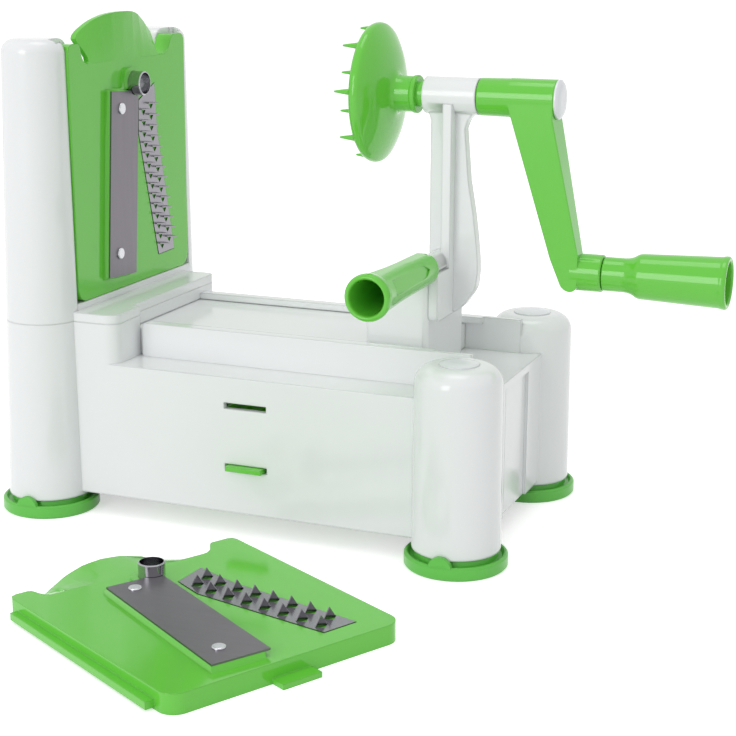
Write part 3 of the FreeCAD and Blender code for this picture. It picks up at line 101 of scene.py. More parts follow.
@dataclass(frozen=True)
class Finish:
    """A moulded or metal surface, described by what its shader needs."""

    name: str
    slot: str
    colour: Colour
    roughness: float
    metallic: float = 0.0
    coat: float = 0.0
    variation: float = 0.02
    grain_scale: float = 60.0
    relief: float = 0.03
    stretch: tuple[float, float, float] = (1.0, 1.0, 1.0)
    edge: float = 0.0

    def material(self) -> bpy.types.Material:
        """Build the node material.

        Returns:
            The material, made once and found by name after that.
        """
        found = bpy.data.materials.get(self.name)
        if found:
            return found
        material = bpy.data.materials.new(self.name)
        material.use_nodes = True
        tree = material.node_tree
        shader = tree.nodes["Principled BSDF"]
        shader.inputs["Metallic"].default_value = self.metallic
        shader.inputs["Coat Weight"].default_value = self.coat
        shader.inputs["Coat Roughness"].default_value = COAT_ROUGHNESS
        place = tree.nodes.new("ShaderNodeTexCoord")
        mapping = tree.nodes.new("ShaderNodeMapping")
        mapping.inputs["Scale"].default_value = self.stretch
        tree.links.new(place.outputs["Object"], mapping.inputs["Vector"])
        cloud = self._noise(tree, mapping, self.grain_scale, 3.0)
        fine = self._noise(tree, mapping, self.grain_scale * FINE_GRAIN, 4.0)
        self._colour(tree, shader, cloud)
        self._roughness(tree, shader, fine)
        self._surface(tree, shader, fine)
        return material

    def _noise(
        self, tree: bpy.types.NodeTree, mapping: bpy.types.Node, scale: float, detail: float
    ) -> bpy.types.Node:
        """Add a noise texture in object space.

        Args:
            tree: The node tree.
            mapping: The mapping node that feeds it.
            scale: How fine the noise is.
            detail: How many octaves it has.

        Returns:
            The noise node.
        """
        noise = tree.nodes.new("ShaderNodeTexNoise")
        noise.inputs["Scale"].default_value = scale
        noise.inputs["Detail"].default_value = detail
        tree.links.new(mapping.outputs["Vector"], noise.inputs["Vector"])
        return noise

    def _colour(
        self, tree: bpy.types.NodeTree, shader: bpy.types.Node, noise: bpy.types.Node
    ) -> None:
        """Vary the colour slightly over the surface.

        Args:
            tree: The node tree.
            shader: The surface shader.
            noise: The noise that drives the variation.
        """
        mix = tree.nodes.new("ShaderNodeMix")
        mix.data_type = "RGBA"
        low = tuple(c * (1 - self.variation) for c in self.colour)
        high = tuple(min(1.0, c * (1 + self.variation)) for c in self.colour)
        mix.inputs["A"].default_value = (*low, 1.0)
        mix.inputs["B"].default_value = (*high, 1.0)
        tree.links.new(noise.outputs["Fac"], mix.inputs["Factor"])
        tree.links.new(mix.outputs["Result"], shader.inputs["Base Color"])

    def _roughness(
        self, tree: bpy.types.NodeTree, shader: bpy.types.Node, noise: bpy.types.Node
    ) -> None:
        """Vary the roughness with the fine grain.

        Args:
            tree: The node tree.
            shader: The surface shader.
            noise: The noise that drives the variation.
        """
        span = tree.nodes.new("ShaderNodeMapRange")
        span.inputs["To Min"].default_value = self.roughness * 0.8
        span.inputs["To Max"].default_value = min(1.0, self.roughness * 1.2)
        tree.links.new(noise.outputs["Fac"], span.inputs["Value"])
        tree.links.new(span.outputs["Result"], shader.inputs["Roughness"])

    def _surface(
        self, tree: bpy.types.NodeTree, shader: bpy.types.Node, noise: bpy.types.Node
    ) -> None:
        """Give the surface its fine relief, and its edges their moulded softness.

        Args:
            tree: The node tree.
            shader: The surface shader.
            noise: The noise that drives the relief.
        """
        bump = tree.nodes.new("ShaderNodeBump")
        bump.inputs["Strength"].default_value = self.relief
        bump.inputs["Distance"].default_value = RELIEF_DEPTH
        tree.links.new(noise.outputs["Fac"], bump.inputs["Height"])
        if self.edge > 0.0:
            soft = tree.nodes.new("ShaderNodeBevel")
            soft.samples = EDGE_SAMPLES
            soft.inputs["Radius"].default_value = self.edge * MM
            tree.links.new(soft.outputs["Normal"], bump.inputs["Normal"])
        tree.links.new(bump.outputs["Normal"], shader.inputs["Normal"])


WHITE = Finish(
    name="white_gloss_plastic",
    slot="white_body",
    colour=linear(236, 238, 239),
    roughness=0.13,
    variation=0.01,
    relief=0.012,
    edge=1.3,
)
WHITE_TRIM = Finish(
    name="white_trim_plastic",
    slot="white_trim",
    colour=linear(232, 234, 238),
    roughness=0.16,
    variation=0.01,
    relief=0.015,
    edge=0.6,
)
LEAF = Finish(
    name="leaf_green_plastic",
    slot="green_body",
    colour=linear(105, 202, 64),
    roughness=0.11,
    variation=0.02,
    relief=0.012,
    edge=0.7,
)
SUCTION = Finish(
    name="leaf_green_rubber",
    slot="green_rubber",
    colour=linear(97, 194, 72),
    roughness=0.3,
    variation=0.04,
    relief=0.05,
    edge=0.5,
)
BLADE = Finish(
    name="brushed_blade_steel",
    slot="blade_steel",
    colour=linear(122, 118, 124),
    roughness=0.36,
    metallic=1.0,
    variation=0.08,
    grain_scale=40.0,
    relief=0.1,
    stretch=(1.0, 9.0, 0.7),
)
COMB = Finish(
    name="stamped_comb_steel",
    slot="blade_steel",
    colour=linear(146, 144, 150),
    roughness=0.22,
    metallic=1.0,
    variation=0.1,
    grain_scale=90.0,
    relief=0.06,
)
RING = Finish(
    name="polished_ring_steel",
    slot="ring_steel",
    colour=linear(178, 178, 182),
    roughness=0.1,
    metallic=1.0,
    variation=0.05,
    relief=0.02,
)
STUD = Finish(
    name="domed_stud_steel",
    slot="stud_steel",
    colour=linear(205, 206, 210),
    roughness=0.25,
    metallic=1.0,
    variation=0.05,
    relief=0.04,
)
SHAFT = Finish(
    name="turned_shaft_steel",
    slot="shaft_steel",
    colour=linear(190, 192, 196),
    roughness=0.28,
    metallic=1.0,
    variation=0.06,
    relief=0.06,
)
SCREW = Finish(
    name="zinc_screw_steel",
    slot="screw_steel",
    colour=linear(186, 188, 190),
    roughness=0.34,
    metallic=1.0,
    variation=0.06,
    relief=0.06,
)
FINISHES = {
    finish.slot: finish
    for finish in (WHITE, WHITE_TRIM, LEAF, SUCTION, BLADE, RING, STUD, SHAFT, SCREW)
}


class Axis(Enum):
    """The way in which a turned piece's axis points."""

    X = 0.0
    Y = 90.0

    def frame(self, centre: tuple[float, float, float]) -> Matrix:
        """Place a piece that was drawn along X.

        Args:
            centre: Where the drawing's origin goes.

        Returns:
            The matrix that turns and moves it.
        """
        return Matrix.Translation(centre) @ Matrix.Rotation(math.radians(self.value), 4, "Z")


def turned(
    profile: Profile,
    axis: Axis,
    centre: tuple[float, float, float],
    steps: int = 96,
    closed: bool = False,
) -> bmesh.types.BMesh:
    """Spin a profile round an axis.

    Args:
        profile: Points as (distance along the axis, radius), in millimetres.
        axis: The way the axis points.
        centre: Where the axis starts.
        steps: The number of steps round.
        closed: Whether the last point joins the first.

    Returns:
        The closed shape.
    """
    shape = bmesh.new()
    points = [shape.verts.new((along, radius, 0.0)) for along, radius in profile]
    edges = [shape.edges.new(pair) for pair in zip(points, points[1:])]
    if closed:
        edges.append(shape.edges.new((points[-1], points[0])))
    bmesh.ops.spin(
        shape,
        geom=points + edges,
        cent=(0.0, 0.0, 0.0),
        axis=(1.0, 0.0, 0.0),
        dvec=(0.0, 0.0, 0.0),
        angle=math.tau,
        steps=steps,
        use_merge=True,
    )
    bmesh.ops.remove_doubles(shape, verts=shape.verts, dist=MERGE_DISTANCE)
    bmesh.ops.dissolve_degenerate(shape, dist=1e-5, edges=shape.edges)
    bmesh.ops.transform(shape, matrix=axis.frame(centre), verts=shape.verts)
    bmesh.ops.recalc_face_normals(shape, faces=shape.faces)
    return shape


def drawn(
    outline: Sequence[tuple[float, float, float]], push: tuple[float, float, float]
) -> bmesh.types.BMesh:
    """Extrude a flat outline.

    Args:
        outline: Its points, in millimetres.
        push: The way and the distance that it is extruded.

    Returns:
        The closed shape.
    """
    shape = bmesh.new()
    face = shape.faces.new([shape.verts.new(point) for point in outline])
    made = bmesh.ops.extrude_face_region(shape, geom=[face])
    moved = [item for item in made["geom"] if isinstance(item, bmesh.types.BMVert)]
    bmesh.ops.translate(shape, verts=moved, vec=push)
    bmesh.ops.recalc_face_normals(shape, faces=shape.faces)
    return shape


def slab(outline: Profile, low: float, high: float) -> bmesh.types.BMesh:
    """Extrude an outline in the XZ plane along Y.

    Args:
        outline: Points as (x, z), in millimetres.
        low: Where the slab starts in Y.
        high: Where it ends.

    Returns:
        The closed shape.
    """
    return drawn([(x, low, z) for x, z in outline], (0.0, high - low, 0.0))


def soften(
    shape: bmesh.types.BMesh,
    wanted: Callable[[bmesh.types.BMEdge], bool],
    width: float,
    segments: int = 4,
) -> None:
    """Round the edges that a test picks.

    Args:
        shape: The shape to change.
        wanted: Says which edges are rounded.
        width: The width of the rounding, in millimetres.
        segments: The number of faces across it.
    """
    bmesh.ops.bevel(
        shape,
        geom=[edge for edge in shape.edges if wanted(edge)],
        offset=width,
        offset_type="OFFSET",
        affect="EDGES",
        segments=segments,
        profile=0.5,
        material=-1,
        clamp_overlap=True,
    )


def combined(
    base: bmesh.types.BMesh, others: Sequence[bmesh.types.BMesh], operation: str
) -> bmesh.types.BMesh:
    """Join closed shapes with a base, or cut them out of it.

    Args:
        base: The shape that is kept.
        others: The shapes that are joined to it or cut from it.
        operation: UNION or DIFFERENCE.

    Returns:
        The new shape.
    """
    pieces = []
    for index, shape in enumerate([base, *others]):
        mesh = bpy.data.meshes.new(f"working_{index}")
        shape.to_mesh(mesh)
        shape.free()
        piece = bpy.data.objects.new(f"working_{index}", mesh)
        bpy.context.scene.collection.objects.link(piece)
        pieces.append(piece)
    for other in pieces[1:]:
        change = pieces[0].modifiers.new(other.name, "BOOLEAN")
        change.operation = operation
        change.solver = "EXACT"
        change.object = other
    graph = bpy.context.evaluated_depsgraph_get()
    result = bmesh.new()
    result.from_object(pieces[0], graph)
    for piece in pieces:
        mesh = piece.data
        bpy.data.objects.remove(piece)
        bpy.data.meshes.remove(mesh)
    bmesh.ops.remove_doubles(result, verts=result.verts, dist=MERGE_DISTANCE)
    bmesh.ops.dissolve_degenerate(result, dist=MERGE_DISTANCE, edges=result.edges)
    return result


def add_shapes(shape: bmesh.types.BMesh, others: Sequence[bmesh.types.BMesh]) -> None:
    """Put more closed shapes into one mesh.

    Args:
        shape: The shape that takes them.
        others: The shapes that go in.
    """
    for other in others:
        mesh = bpy.data.meshes.new("working")
        other.to_mesh(mesh)
        other.free()
        shape.from_mesh(mesh)
        bpy.data.meshes.remove(mesh)


def settle(
    name: str,
    shape: bmesh.types.BMesh,
    finish: Finish,
    body: str,
    stands_for: str,
    crease: float = 35.0,
) -> bpy.types.Object:
    """Turn a shape in millimetres into a finished piece.

    Args:
        name: The piece's name.
        shape: Its shape, which is used up.
        finish: Its finish.
        body: The body that it rides on.
        stands_for: The CAD node that it replaces.
        crease: The angle in degrees above which an edge stays sharp.

    Returns:
        The finished object.
    """
    bmesh.ops.scale(shape, vec=(MM, MM, MM), verts=shape.verts)
    mesh = bpy.data.meshes.new(name)
    shape.to_mesh(mesh)
    shape.free()
    mesh.shade_smooth()
    mesh.set_sharp_from_angle(angle=math.radians(crease))
    mesh.materials.append(finish.material())
    piece = bpy.data.objects.new(name, mesh)
    bpy.context.scene.collection.objects.link(piece)
    even = piece.modifiers.new("even_shading", "WEIGHTED_NORMAL")
    even.keep_sharp = True
    even.weight = 100
    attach(piece, body)
    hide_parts(stands_for)
    log.info("%s: %d faces on %s", name, len(mesh.polygons), body)
    return piece


@dataclass
class SpikedWheel:
    """The wheel that drives the vegetable: a dish, its hub and two rings of spikes."""

    height: float = 192.0
    rim: float = 42.5
    radius: float = 30.3
    hub: float = 7.7
    hub_end: float = 61.8
    bore: float = 4.12
    spike_tip: float = 33.0
    outer_ring: float = 27.5
    inner_ring: float = 21.2
    turn: float = -5.0

    def build(self) -> None:
        """Make the wheel."""
        shape = self._dish()
        spikes = []
        for step in range(8):
            angle = self.turn + step * 45.0
            spikes.append(self._spike(self.outer_ring, angle, self.rim - 1.9))
            spikes.append(self._spike(self.inner_ring, angle + 22.5, self.rim - 0.3))
        add_shapes(shape, spikes)
        settle("wheel_with_spikes", shape, LEAF, "crank", "spiked_wheel")

    def _dish(self) -> bmesh.types.BMesh:
        """Turn the dish and its hub.

        Returns:
            The closed shape.
        """
        rim, radius, hub, end = self.rim, self.radius, self.hub, self.hub_end
        profile = [
            (rim + 2.2, 0.0), (rim + 1.6, 9.0), (rim + 0.8, 16.0), (rim - 0.6, radius - 8.3),
            (rim - 1.5, radius - 5.6), (rim - 2.1, radius - 3.6), (rim - 2.3, radius - 2.2),
            (rim - 2.2, radius - 1.2), (rim - 1.6, radius - 0.5), (rim - 0.7, radius - 0.1),
            (rim + 0.4, radius), (rim + 1.4, radius - 0.3), (rim + 2.1, radius - 0.9),
            (rim + 3.0, radius - 2.4), (rim + 4.2, radius - 4.7), (rim + 5.6, radius - 8.0),
            (rim + 6.8, radius - 12.0), (rim + 7.6, radius - 16.3), (rim + 8.1, hub + 3.4),
            (rim + 8.6, hub + 1.9), (rim + 9.3, hub + 0.7), (rim + 10.4, hub + 0.1),
            (end - 2.6, hub), (end - 2.2, hub + 0.1), (end - 1.9, hub + 0.5),
            (end - 0.5, hub + 0.6), (end, hub + 0.2), (end, hub - 2.2),
            (end + 3.3, hub - 2.2), (end + 3.3, self.bore), (rim + 6.0, self.bore),
            (rim + 6.0, 0.0),
        ]
        return turned(profile, Axis.X, (0.0, 0.0, self.height), steps=FINE_STEPS)

    def _spike(self, ring: float, angle: float, root: float) -> bmesh.types.BMesh:
        """Turn one spike with a flared foot.

        Args:
            ring: Its distance from the wheel's axis.
            angle: Its angle in degrees from straight up, towards the front.
            root: Where its foot meets the dish.

        Returns:
            The closed shape.
        """
        tip = self.spike_tip
        length = root - tip
        profile = [
            (root + 1.2, 0.0), (root + 1.2, 2.1), (root - 0.3, 1.75), (root - length * 0.12, 1.4),
            (root - length * 0.32, 1.15), (root - length * 0.65, 0.8), (tip + 0.5, 0.45),
            (tip + 0.1, 0.3), (tip, 0.0),
        ]
        turn = math.radians(angle)
        place = (0.0, -ring * math.sin(turn), self.height + ring * math.cos(turn))
        return turned(profile, Axis.X, place, steps=16)


@dataclass
class CrankArm:
    """The crank: hub on the shaft, tapered arm and the barrel that holds the knob's pin."""

    height: float = 192.0
    knob_height: float = 119.2
    start: float = 89.8
    end: float = 124.0
    hub: float = 8.35
    bore: float = 4.12
    recess: float = 5.6
    screw: float = 1.52
    front: float = -7.7
    back_high: float = 7.6
    back_low: float = 1.2
    barrel: float = 8.0
    barrel_end: float = 146.4
    pin_hole: float = 3.02

    def build(self) -> None:
        """Make the crank arm."""
        shape = combined(self._hub(), [self._bar(), self._barrel()], "UNION")
        shape = combined(shape, self._holes(), "DIFFERENCE")
        settle("crank_arm_moulding", shape, LEAF, "crank", "crank_arm", crease=30.0)

    def _hub(self) -> bmesh.types.BMesh:
        """Turn the hub, a little narrower beside the bearing.

        Returns:
            The closed shape.
        """
        profile = [
            (self.start, 0.0), (self.start, self.hub - 0.8), (self.start + 0.5, self.hub - 0.35),
            (self.start + 13.2, self.hub - 0.15), (self.start + 13.8, self.hub),
            (self.end - 0.4, self.hub), (self.end, self.hub - 0.4), (self.end, 0.0),
        ]
        return turned(profile, Axis.X, (0.0, 0.0, self.height))

    def _bar(self) -> bmesh.types.BMesh:
        """Make the tapered arm: its front is flush with the hub, its back draws in.

        Returns:
            The closed shape.
        """
        top, foot = self.height, self.knob_height
        right, low = self.barrel_end - 9.8, foot - 7.7
        taper_top, taper_foot = top - 9.0, foot + 6.2
        outline = [
            (self.end - 20.6, top - 1.0), (self.end - 0.4, top - 1.0), (self.end - 0.2, top - 8.0),
            (right, foot + 8.2), (right, low), (right - 6.3, low), (right - 12.2, foot + 6.0),
        ]
        shape = slab(outline, self.front, self.back_high)
        for level in (taper_top, taper_foot):
            geometry = shape.verts[:] + shape.edges[:] + shape.faces[:]
            bmesh.ops.bisect_plane(
                shape,
                geom=geometry,
                dist=MERGE_DISTANCE,
                plane_co=(0.0, 0.0, level),
                plane_no=(0.0, 0.0, 1.0),
            )
        for vertex in shape.verts:
            share = (vertex.co.z - taper_foot) / (taper_top - taper_foot)
            share = min(1.0, max(0.0, share))
            if vertex.co.y > 0.0:
                vertex.co.y = self.back_low + (self.back_high - self.back_low) * share
            else:
                vertex.co.y = self.front - 0.45 * share
        near = low + 0.1
        soften(shape, lambda edge: self._across(edge) and edge.verts[0].co.z < near, 5.0, 6)
        soften(shape, lambda edge: self._along(edge, back=True), 2.4, 5)
        soften(shape, lambda edge: self._along(edge, back=False), 1.0, 4)
        return shape

    @staticmethod
    def _across(edge: bmesh.types.BMEdge) -> bool:
        """Say if an edge runs from front to back."""
        first, last = (vertex.co for vertex in edge.verts)
        return abs(first.y - last.y) > 4.0 and (first.xz - last.xz).length < 1.0

    @staticmethod
    def _along(edge: bmesh.types.BMEdge, back: bool) -> bool:
        """Say if an edge is part of the front or the back face's outline.

        Args:
            edge: The edge.
            back: Whether the back face is meant.

        Returns:
            Whether the edge is wanted.
        """
        if len(edge.link_faces) != 2 or edge.calc_face_angle(0.0) < math.radians(50.0):
            return False
        side = [vertex.co.y > 0.0 for vertex in edge.verts]
        return all(side) if back else not any(side)

    def _barrel(self) -> bmesh.types.BMesh:
        """Turn the barrel at the arm's foot, with its domed inner end.

        Returns:
            The closed shape.
        """
        end, radius = self.barrel_end, self.barrel
        start = end - 18.0
        profile = [
            (start, 0.0), (start + 0.2, 3.2), (start + 0.9, 5.4), (start + 2.0, 6.9),
            (start + 3.4, 7.7), (start + 5.0, radius), (end - 0.5, radius), (end, radius - 0.5),
            (end, 0.0),
        ]
        return turned(profile, Axis.X, (0.0, 0.0, self.knob_height))

    def _holes(self) -> list[bmesh.types.BMesh]:
        """Turn the tools that cut the bore, the cap's recess, the screw hole and the pin hole.

        Returns:
            The closed shapes.
        """
        axis = (0.0, 0.0, self.height)
        start, end = self.start - 1.0, self.end - 5.8
        shaft = [(start, 0.0), (start, self.bore), (end, self.bore), (end, self.screw),
                 (end + 0.4, self.screw), (end + 0.4, self.recess), (self.end + 1.0, self.recess),
                 (self.end + 1.0, 0.0)]
        low = self.barrel_end - 14.4
        pin = [(low, 0.0), (low, self.pin_hole), (self.barrel_end + 1.0, self.pin_hole),
               (self.barrel_end + 1.0, 0.0)]
        foot = (0.0, 0.0, self.knob_height)
        return [turned(shaft, Axis.X, axis, steps=64), turned(pin, Axis.X, foot, steps=48)]


@dataclass
class TurningKnob:
    """The knob that turns on its pin: neck, shoulder and grip with a hollow end."""

    height: float = 119.2
    start: float = 146.7
    end: float = 199.6
    bore: float = 3.08
    neck: float = 7.3
    grip: float = 9.7
    mouth: float = 11.2
    hollow: float = 8.8
    floor: float = 185.6

    def build(self) -> None:
        """Make the knob."""
        start, end = self.start, self.end
        profile = [
            (start, self.bore), (start, self.neck - 0.5), (start + 0.2, self.neck - 0.15),
            (start + 0.7, self.neck), (start + 8.6, self.neck), (start + 10.4, self.neck + 0.15),
            (start + 12.0, self.neck + 0.6), (start + 13.4, self.neck + 1.3),
            (start + 14.6, self.grip - 0.35), (start + 15.6, self.grip - 0.08),
            (start + 16.8, self.grip + 0.02), (end - 3.2, self.mouth - 0.35),
            (end - 2.6, self.mouth - 0.1), (end - 1.9, self.mouth), (end - 0.7, self.mouth),
            (end - 0.1, self.mouth - 0.4), (end, self.mouth - 0.9), (end, self.hollow + 0.9),
            (end - 0.3, self.hollow + 0.4), (end - 0.9, self.hollow + 0.1),
            (self.floor, self.hollow - 0.4), (self.floor, self.bore),
        ]
        shape = turned(profile, Axis.X, (0.0, 0.0, self.height), steps=FINE_STEPS, closed=True)
        settle("turning_knob", shape, LEAF, "knob", "knob_grip")


@dataclass
class SideHandle:
    """The hollow handle beside the post, with its flat top, long recess and rolled rim."""

    x: float = 73.3
    height: float = 120.2
    root: float = -24.7
    tip: float = -90.5
    seat: float = -37.7
    floor: float = -39.9
    spigot: float = 5.02
    screw: float = 1.6
    root_radius: float = 7.3
    grip_radius: float = 8.5
    rim_radius: float = 9.7
    bore_radius: float = 7.3
    recess_turn: float = 18.0
    recess_depth: float = 0.85

    def build(self) -> None:
        """Make the handle."""
        shape = combined(self._tube(), [self._flat(), self._recess(), self._notch()], "DIFFERENCE")
        settle("side_handle_moulding", shape, LEAF, "carriage", "side_handle", crease=28.0)

    def _tube(self) -> bmesh.types.BMesh:
        """Turn the handle with its bore.

        Returns:
            The closed shape.
        """
        root, tip = self.root, self.tip
        profile = [
            (root, self.spigot), (root, self.root_radius - 0.4), (root - 0.4, self.root_radius),
            (root - 26.0, self.root_radius + 0.25), (root - 40.0, self.root_radius + 0.6),
            (tip + 16.0, self.grip_radius - 0.15), (tip + 10.0, self.grip_radius + 0.15),
            (tip + 6.5, self.grip_radius + 0.45), (tip + 4.6, self.grip_radius + 0.75),
            (tip + 3.4, self.rim_radius - 0.1), (tip + 2.4, self.rim_radius),
            (tip + 1.3, self.rim_radius - 0.08), (tip + 0.5, self.rim_radius - 0.4),
            (tip + 0.1, self.rim_radius - 0.9), (tip, self.rim_radius - 1.4),
            (tip + 0.2, self.bore_radius + 0.5), (tip + 0.7, self.bore_radius + 0.15),
            (tip + 1.6, self.bore_radius), (self.floor, self.root_radius - 1.9),
            (self.floor, self.screw), (self.seat, self.screw), (self.seat, self.spigot),
        ]
        return turned(profile, Axis.Y, (self.x, 0.0, self.height), closed=True)

    def _flat(self) -> bmesh.types.BMesh:
        """Make the tool that cuts the flat top.

        Returns:
            The closed shape.
        """
        near, far = self.root + 1.0, self.tip + 7.0
        shape = slab([(-6.0, 6.75), (6.0, 6.75), (6.0, 14.0), (-6.0, 14.0)], far, near)
        for vertex in shape.verts:
            if vertex.co.y < far + 0.1 and vertex.co.z < 10.0:
                vertex.co.z += 1.35
        bmesh.ops.translate(shape, verts=shape.verts, vec=(self.x, 0.0, self.height))
        return shape

    def _recess(self) -> bmesh.types.BMesh:
        """Make the tool that cuts the long pointed recess.

        Returns:
            The closed shape.
        """
        far, near = self.tip + 12.0, self.root - 11.0
        rise = self.grip_radius - 0.1 - self.recess_depth
        low = self.root_radius + 0.25 - self.recess_depth
        side = [(far, 3.1), (near - 9.0, 2.9), (near - 4.0, 2.2)]
        outline = [(0.0, along, -across) for along, across in side]
        outline.append((0.0, near, 0.0))
        outline += [(0.0, along, across) for along, across in reversed(side)]
        shape = drawn(outline, (6.0, 0.0, 0.0))
        for vertex in shape.verts:
            share = (vertex.co.y - far) / (near - far)
            vertex.co.x += rise + (low - rise) * share
        turn = Matrix.Rotation(math.radians(-self.recess_turn), 4, "Y")
        place = Matrix.Translation((self.x, 0.0, self.height))
        bmesh.ops.transform(shape, matrix=place @ turn, verts=shape.verts)
        bmesh.ops.recalc_face_normals(shape, faces=shape.faces)
        return shape

    def _notch(self) -> bmesh.types.BMesh:
        """Make the tool that cuts the small notch at the root's top.

        Returns:
            The closed shape.
        """
        outline = [(1.6, 6.1), (5.4, 6.1), (5.4, 9.0), (1.6, 9.0)]
        shape = slab(outline, self.root - 3.2, self.root + 1.0)
        bmesh.ops.translate(shape, verts=shape.verts, vec=(self.x, 0.0, self.height))
        return shape


@dataclass
class Moulding:
    """A CAD node that keeps its shape and gets smooth curves and its own finish."""

    node: str
    body: str
    finish: Finish
    crease: float = 28.0

    def build(self) -> None:
        """Make the moulding from a merged copy of the node's mesh."""
        shape = self.copied()
        settle(f"{self.node}_smooth", shape, self.finish, self.body, self.node, self.crease)

    def copied(self) -> bmesh.types.BMesh:
        """Copy the node's mesh and merge its loose triangles.

        Returns:
            The shape in millimetres.
        """
        shape = bmesh.new()
        shape.from_mesh(bpy.data.objects[self.node].data)
        bmesh.ops.scale(shape, vec=(1 / MM, 1 / MM, 1 / MM), verts=shape.verts)
        bmesh.ops.remove_doubles(shape, verts=shape.verts, dist=COPY_MERGE_DISTANCE)
        bmesh.ops.dissolve_limit(
            shape, angle_limit=FLAT_ANGLE, verts=shape.verts, edges=shape.edges
        )
        return shape


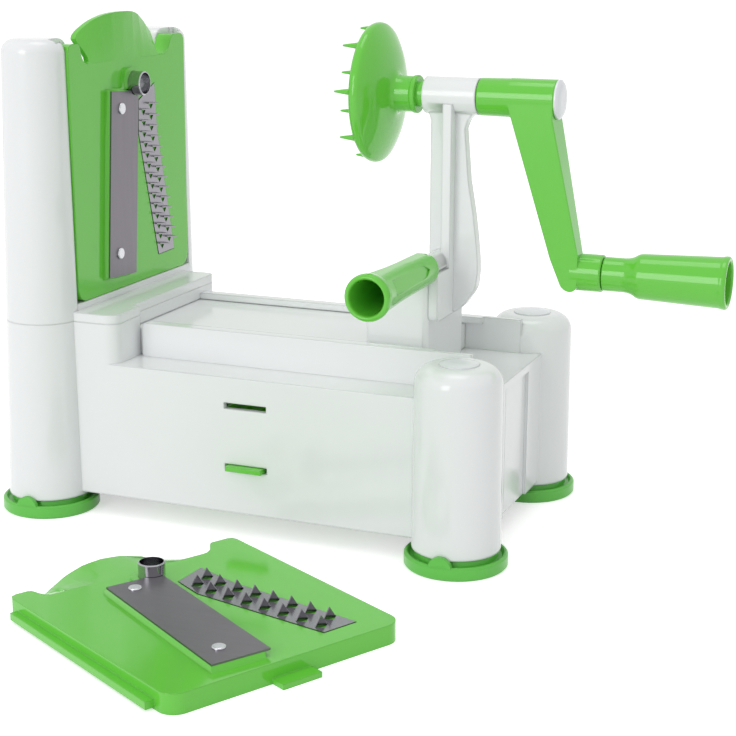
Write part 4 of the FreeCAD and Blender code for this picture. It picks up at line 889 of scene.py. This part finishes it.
@dataclass
class Studio:
    """Floor, soft lamps and the camera at the photograph's angle."""

    place: tuple[float, float, float] = (0.3102, -0.6787, 0.2573)
    yaw: float = 21.846
    pitch: float = 14.605
    roll: float = 0.193
    lens: float = 80.62
    floor_size: float = 40.0
    floor_shade: float = 0.9
    floor_glow: float = 0.52
    sky: float = 0.7
    front_power: float = 14.0
    top_power: float = 4.5

    def build(self) -> None:
        """Make the floor, the lamps, the world and the camera."""
        self._floor()
        self._lamps()
        self._world()
        self._camera()

    def _floor(self) -> None:
        """Lay a plain pale floor that stays white around the object's shadow."""
        mesh = bpy.data.meshes.new("floor")
        shape = bmesh.new()
        bmesh.ops.create_grid(shape, x_segments=1, y_segments=1, size=self.floor_size / 2)
        shape.to_mesh(mesh)
        shape.free()
        floor = bpy.data.objects.new("floor", mesh)
        bpy.context.scene.collection.objects.link(floor)
        material = bpy.data.materials.new("pale_floor")
        material.use_nodes = True
        tree = material.node_tree
        shader = tree.nodes["Principled BSDF"]
        shader.inputs["Base Color"].default_value = (*[self.floor_shade] * 3, 1.0)
        shader.inputs["Roughness"].default_value = 0.9
        shader.inputs["Specular IOR Level"].default_value = 0.0
        shader.inputs["Emission Color"].default_value = (1.0, 1.0, 1.0, 1.0)
        path = tree.nodes.new("ShaderNodeLightPath")
        glow = tree.nodes.new("ShaderNodeMath")
        glow.operation = "MULTIPLY"
        glow.inputs[1].default_value = self.floor_glow
        tree.links.new(self._seen(tree, path), glow.inputs[0])
        tree.links.new(glow.outputs[0], shader.inputs["Emission Strength"])
        mesh.materials.append(material)

    def _seen(self, tree: bpy.types.NodeTree, path: bpy.types.Node) -> bpy.types.NodeSocket:
        """Tell camera, glossy and transmission rays from the rays that light the object.

        Args:
            tree: The node tree.
            path: The light path node.

        Returns:
            A socket that is 1 for the rays that see the background.
        """
        seen = path.outputs["Is Camera Ray"]
        for kind in ("Is Glossy Ray", "Is Transmission Ray"):
            either = tree.nodes.new("ShaderNodeMath")
            either.operation = "MAXIMUM"
            tree.links.new(seen, either.inputs[0])
            tree.links.new(path.outputs[kind], either.inputs[1])
            seen = either.outputs[0]
        return seen

    def _lamp(
        self,
        name: str,
        place: tuple[float, float, float],
        size: tuple[float, float],
        power: float,
        target: tuple[float, float, float] = (0.0, 0.0, 0.1),
    ) -> None:
        """Hang one soft lamp.

        Args:
            name: The lamp's name.
            place: Where it hangs.
            size: Its width and height.
            power: Its power in watts.
            target: The point that it faces.
        """
        data = bpy.data.lights.new(name, "AREA")
        data.shape = "RECTANGLE"
        data.size, data.size_y = size
        data.energy = power
        lamp = bpy.data.objects.new(name, data)
        lamp.location = place
        away = Vector(place) - Vector(target)
        lamp.rotation_euler = away.to_track_quat("Z", "Y").to_euler()
        bpy.context.scene.collection.objects.link(lamp)

    def _lamps(self) -> None:
        """Hang the soft lamps."""
        self._lamp("lamp_front", (-0.6, -2.2, 0.8), (0.9, 1.2), self.front_power)
        self._lamp("lamp_top", (0.0, 0.1, 1.8), (0.8, 0.8), self.top_power)

    def _world(self) -> None:
        """Surround the scene with a plain white world."""
        world = bpy.data.worlds.new("white_world")
        bpy.context.scene.world = world
        world.use_nodes = True
        tree = world.node_tree
        background = tree.nodes["Background"]
        background.inputs["Color"].default_value = (1.0, 1.0, 1.0, 1.0)
        path = tree.nodes.new("ShaderNodeLightPath")
        span = tree.nodes.new("ShaderNodeMapRange")
        span.inputs["To Min"].default_value = self.sky
        span.inputs["To Max"].default_value = 1.0
        tree.links.new(self._seen(tree, path), span.inputs["Value"])
        tree.links.new(span.outputs["Result"], background.inputs["Strength"])

    def _camera(self) -> None:
        """Set the camera where the photograph was taken from."""
        yaw, pitch, roll = (math.radians(v) for v in (self.yaw, self.pitch, self.roll))
        ahead = Vector((
            -math.sin(yaw) * math.cos(pitch), math.cos(yaw) * math.cos(pitch), -math.sin(pitch)
        ))
        right = Vector((math.cos(yaw), math.sin(yaw), 0.0))
        up = right.cross(ahead)
        side = right * math.cos(roll) + up * math.sin(roll)
        top = up * math.cos(roll) - right * math.sin(roll)
        data = bpy.data.cameras.new("camera")
        data.lens = self.lens
        data.sensor_width = 36.0
        data.clip_start = 0.05
        data.clip_end = 60.0
        camera = bpy.data.objects.new("camera", data)
        frame = Matrix((side, top, -ahead)).transposed().to_4x4()
        frame.translation = Vector(self.place)
        camera.matrix_world = frame
        bpy.context.scene.collection.objects.link(camera)
        bpy.context.scene.camera = camera


def dress_nodes(frame: dict) -> None:
    """Give every CAD node the finish of its slot.
    """
    slots = {part["node"]: part["material_slot"] for part in frame["record"]["subparts"]}
    for name, node in frame["nodes"].items():
        finish = COMB if name.endswith("comb_blade") else FINISHES[slots[name]]
        if not node.material_slots:
            node.data.materials.append(finish.material())
        for slot in node.material_slots:
            slot.material = finish.material()


MOULDINGS = [
    Moulding("base_shell", "base", WHITE),
    Moulding("blade_tower", "base", WHITE),
    Moulding("carriage", "carriage", WHITE),
    Moulding("crank_post", "carriage", WHITE),
    Moulding("column_cap_front", "base", WHITE_TRIM),
    Moulding("column_cap_back", "base", WHITE_TRIM),
    Moulding("crank_cap", "crank", WHITE_TRIM),
    Moulding("foot_front_left", "base", SUCTION),
    Moulding("foot_front_right", "base", SUCTION),
    Moulding("foot_back_left", "base", SUCTION),
    Moulding("foot_back_right", "base", SUCTION),
    Moulding("installed_plate", "installed_cassette", LEAF),
    Moulding("stored_plate", "stored_cassette", LEAF),
    Moulding("loose_plate", "base", LEAF),
    Moulding("installed_coring_ring", "installed_cassette", RING),
    Moulding("loose_coring_ring", "base", RING),
    Moulding("stored_coring_ring", "stored_cassette", RING),
]


def main() -> None:
    """Load the frame, dress it, add the detailed pieces and set the studio."""
    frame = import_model()
    bpy.context.scene.view_settings.view_transform = "Standard"
    Studio().build()
    dress_nodes(frame)
    for piece in (SpikedWheel(), CrankArm(), TurningKnob(), SideHandle(), *MOULDINGS):
        piece.build()
    log.info("dressed %d nodes", len(frame["nodes"]))


if __name__ == "__main__":
    main()
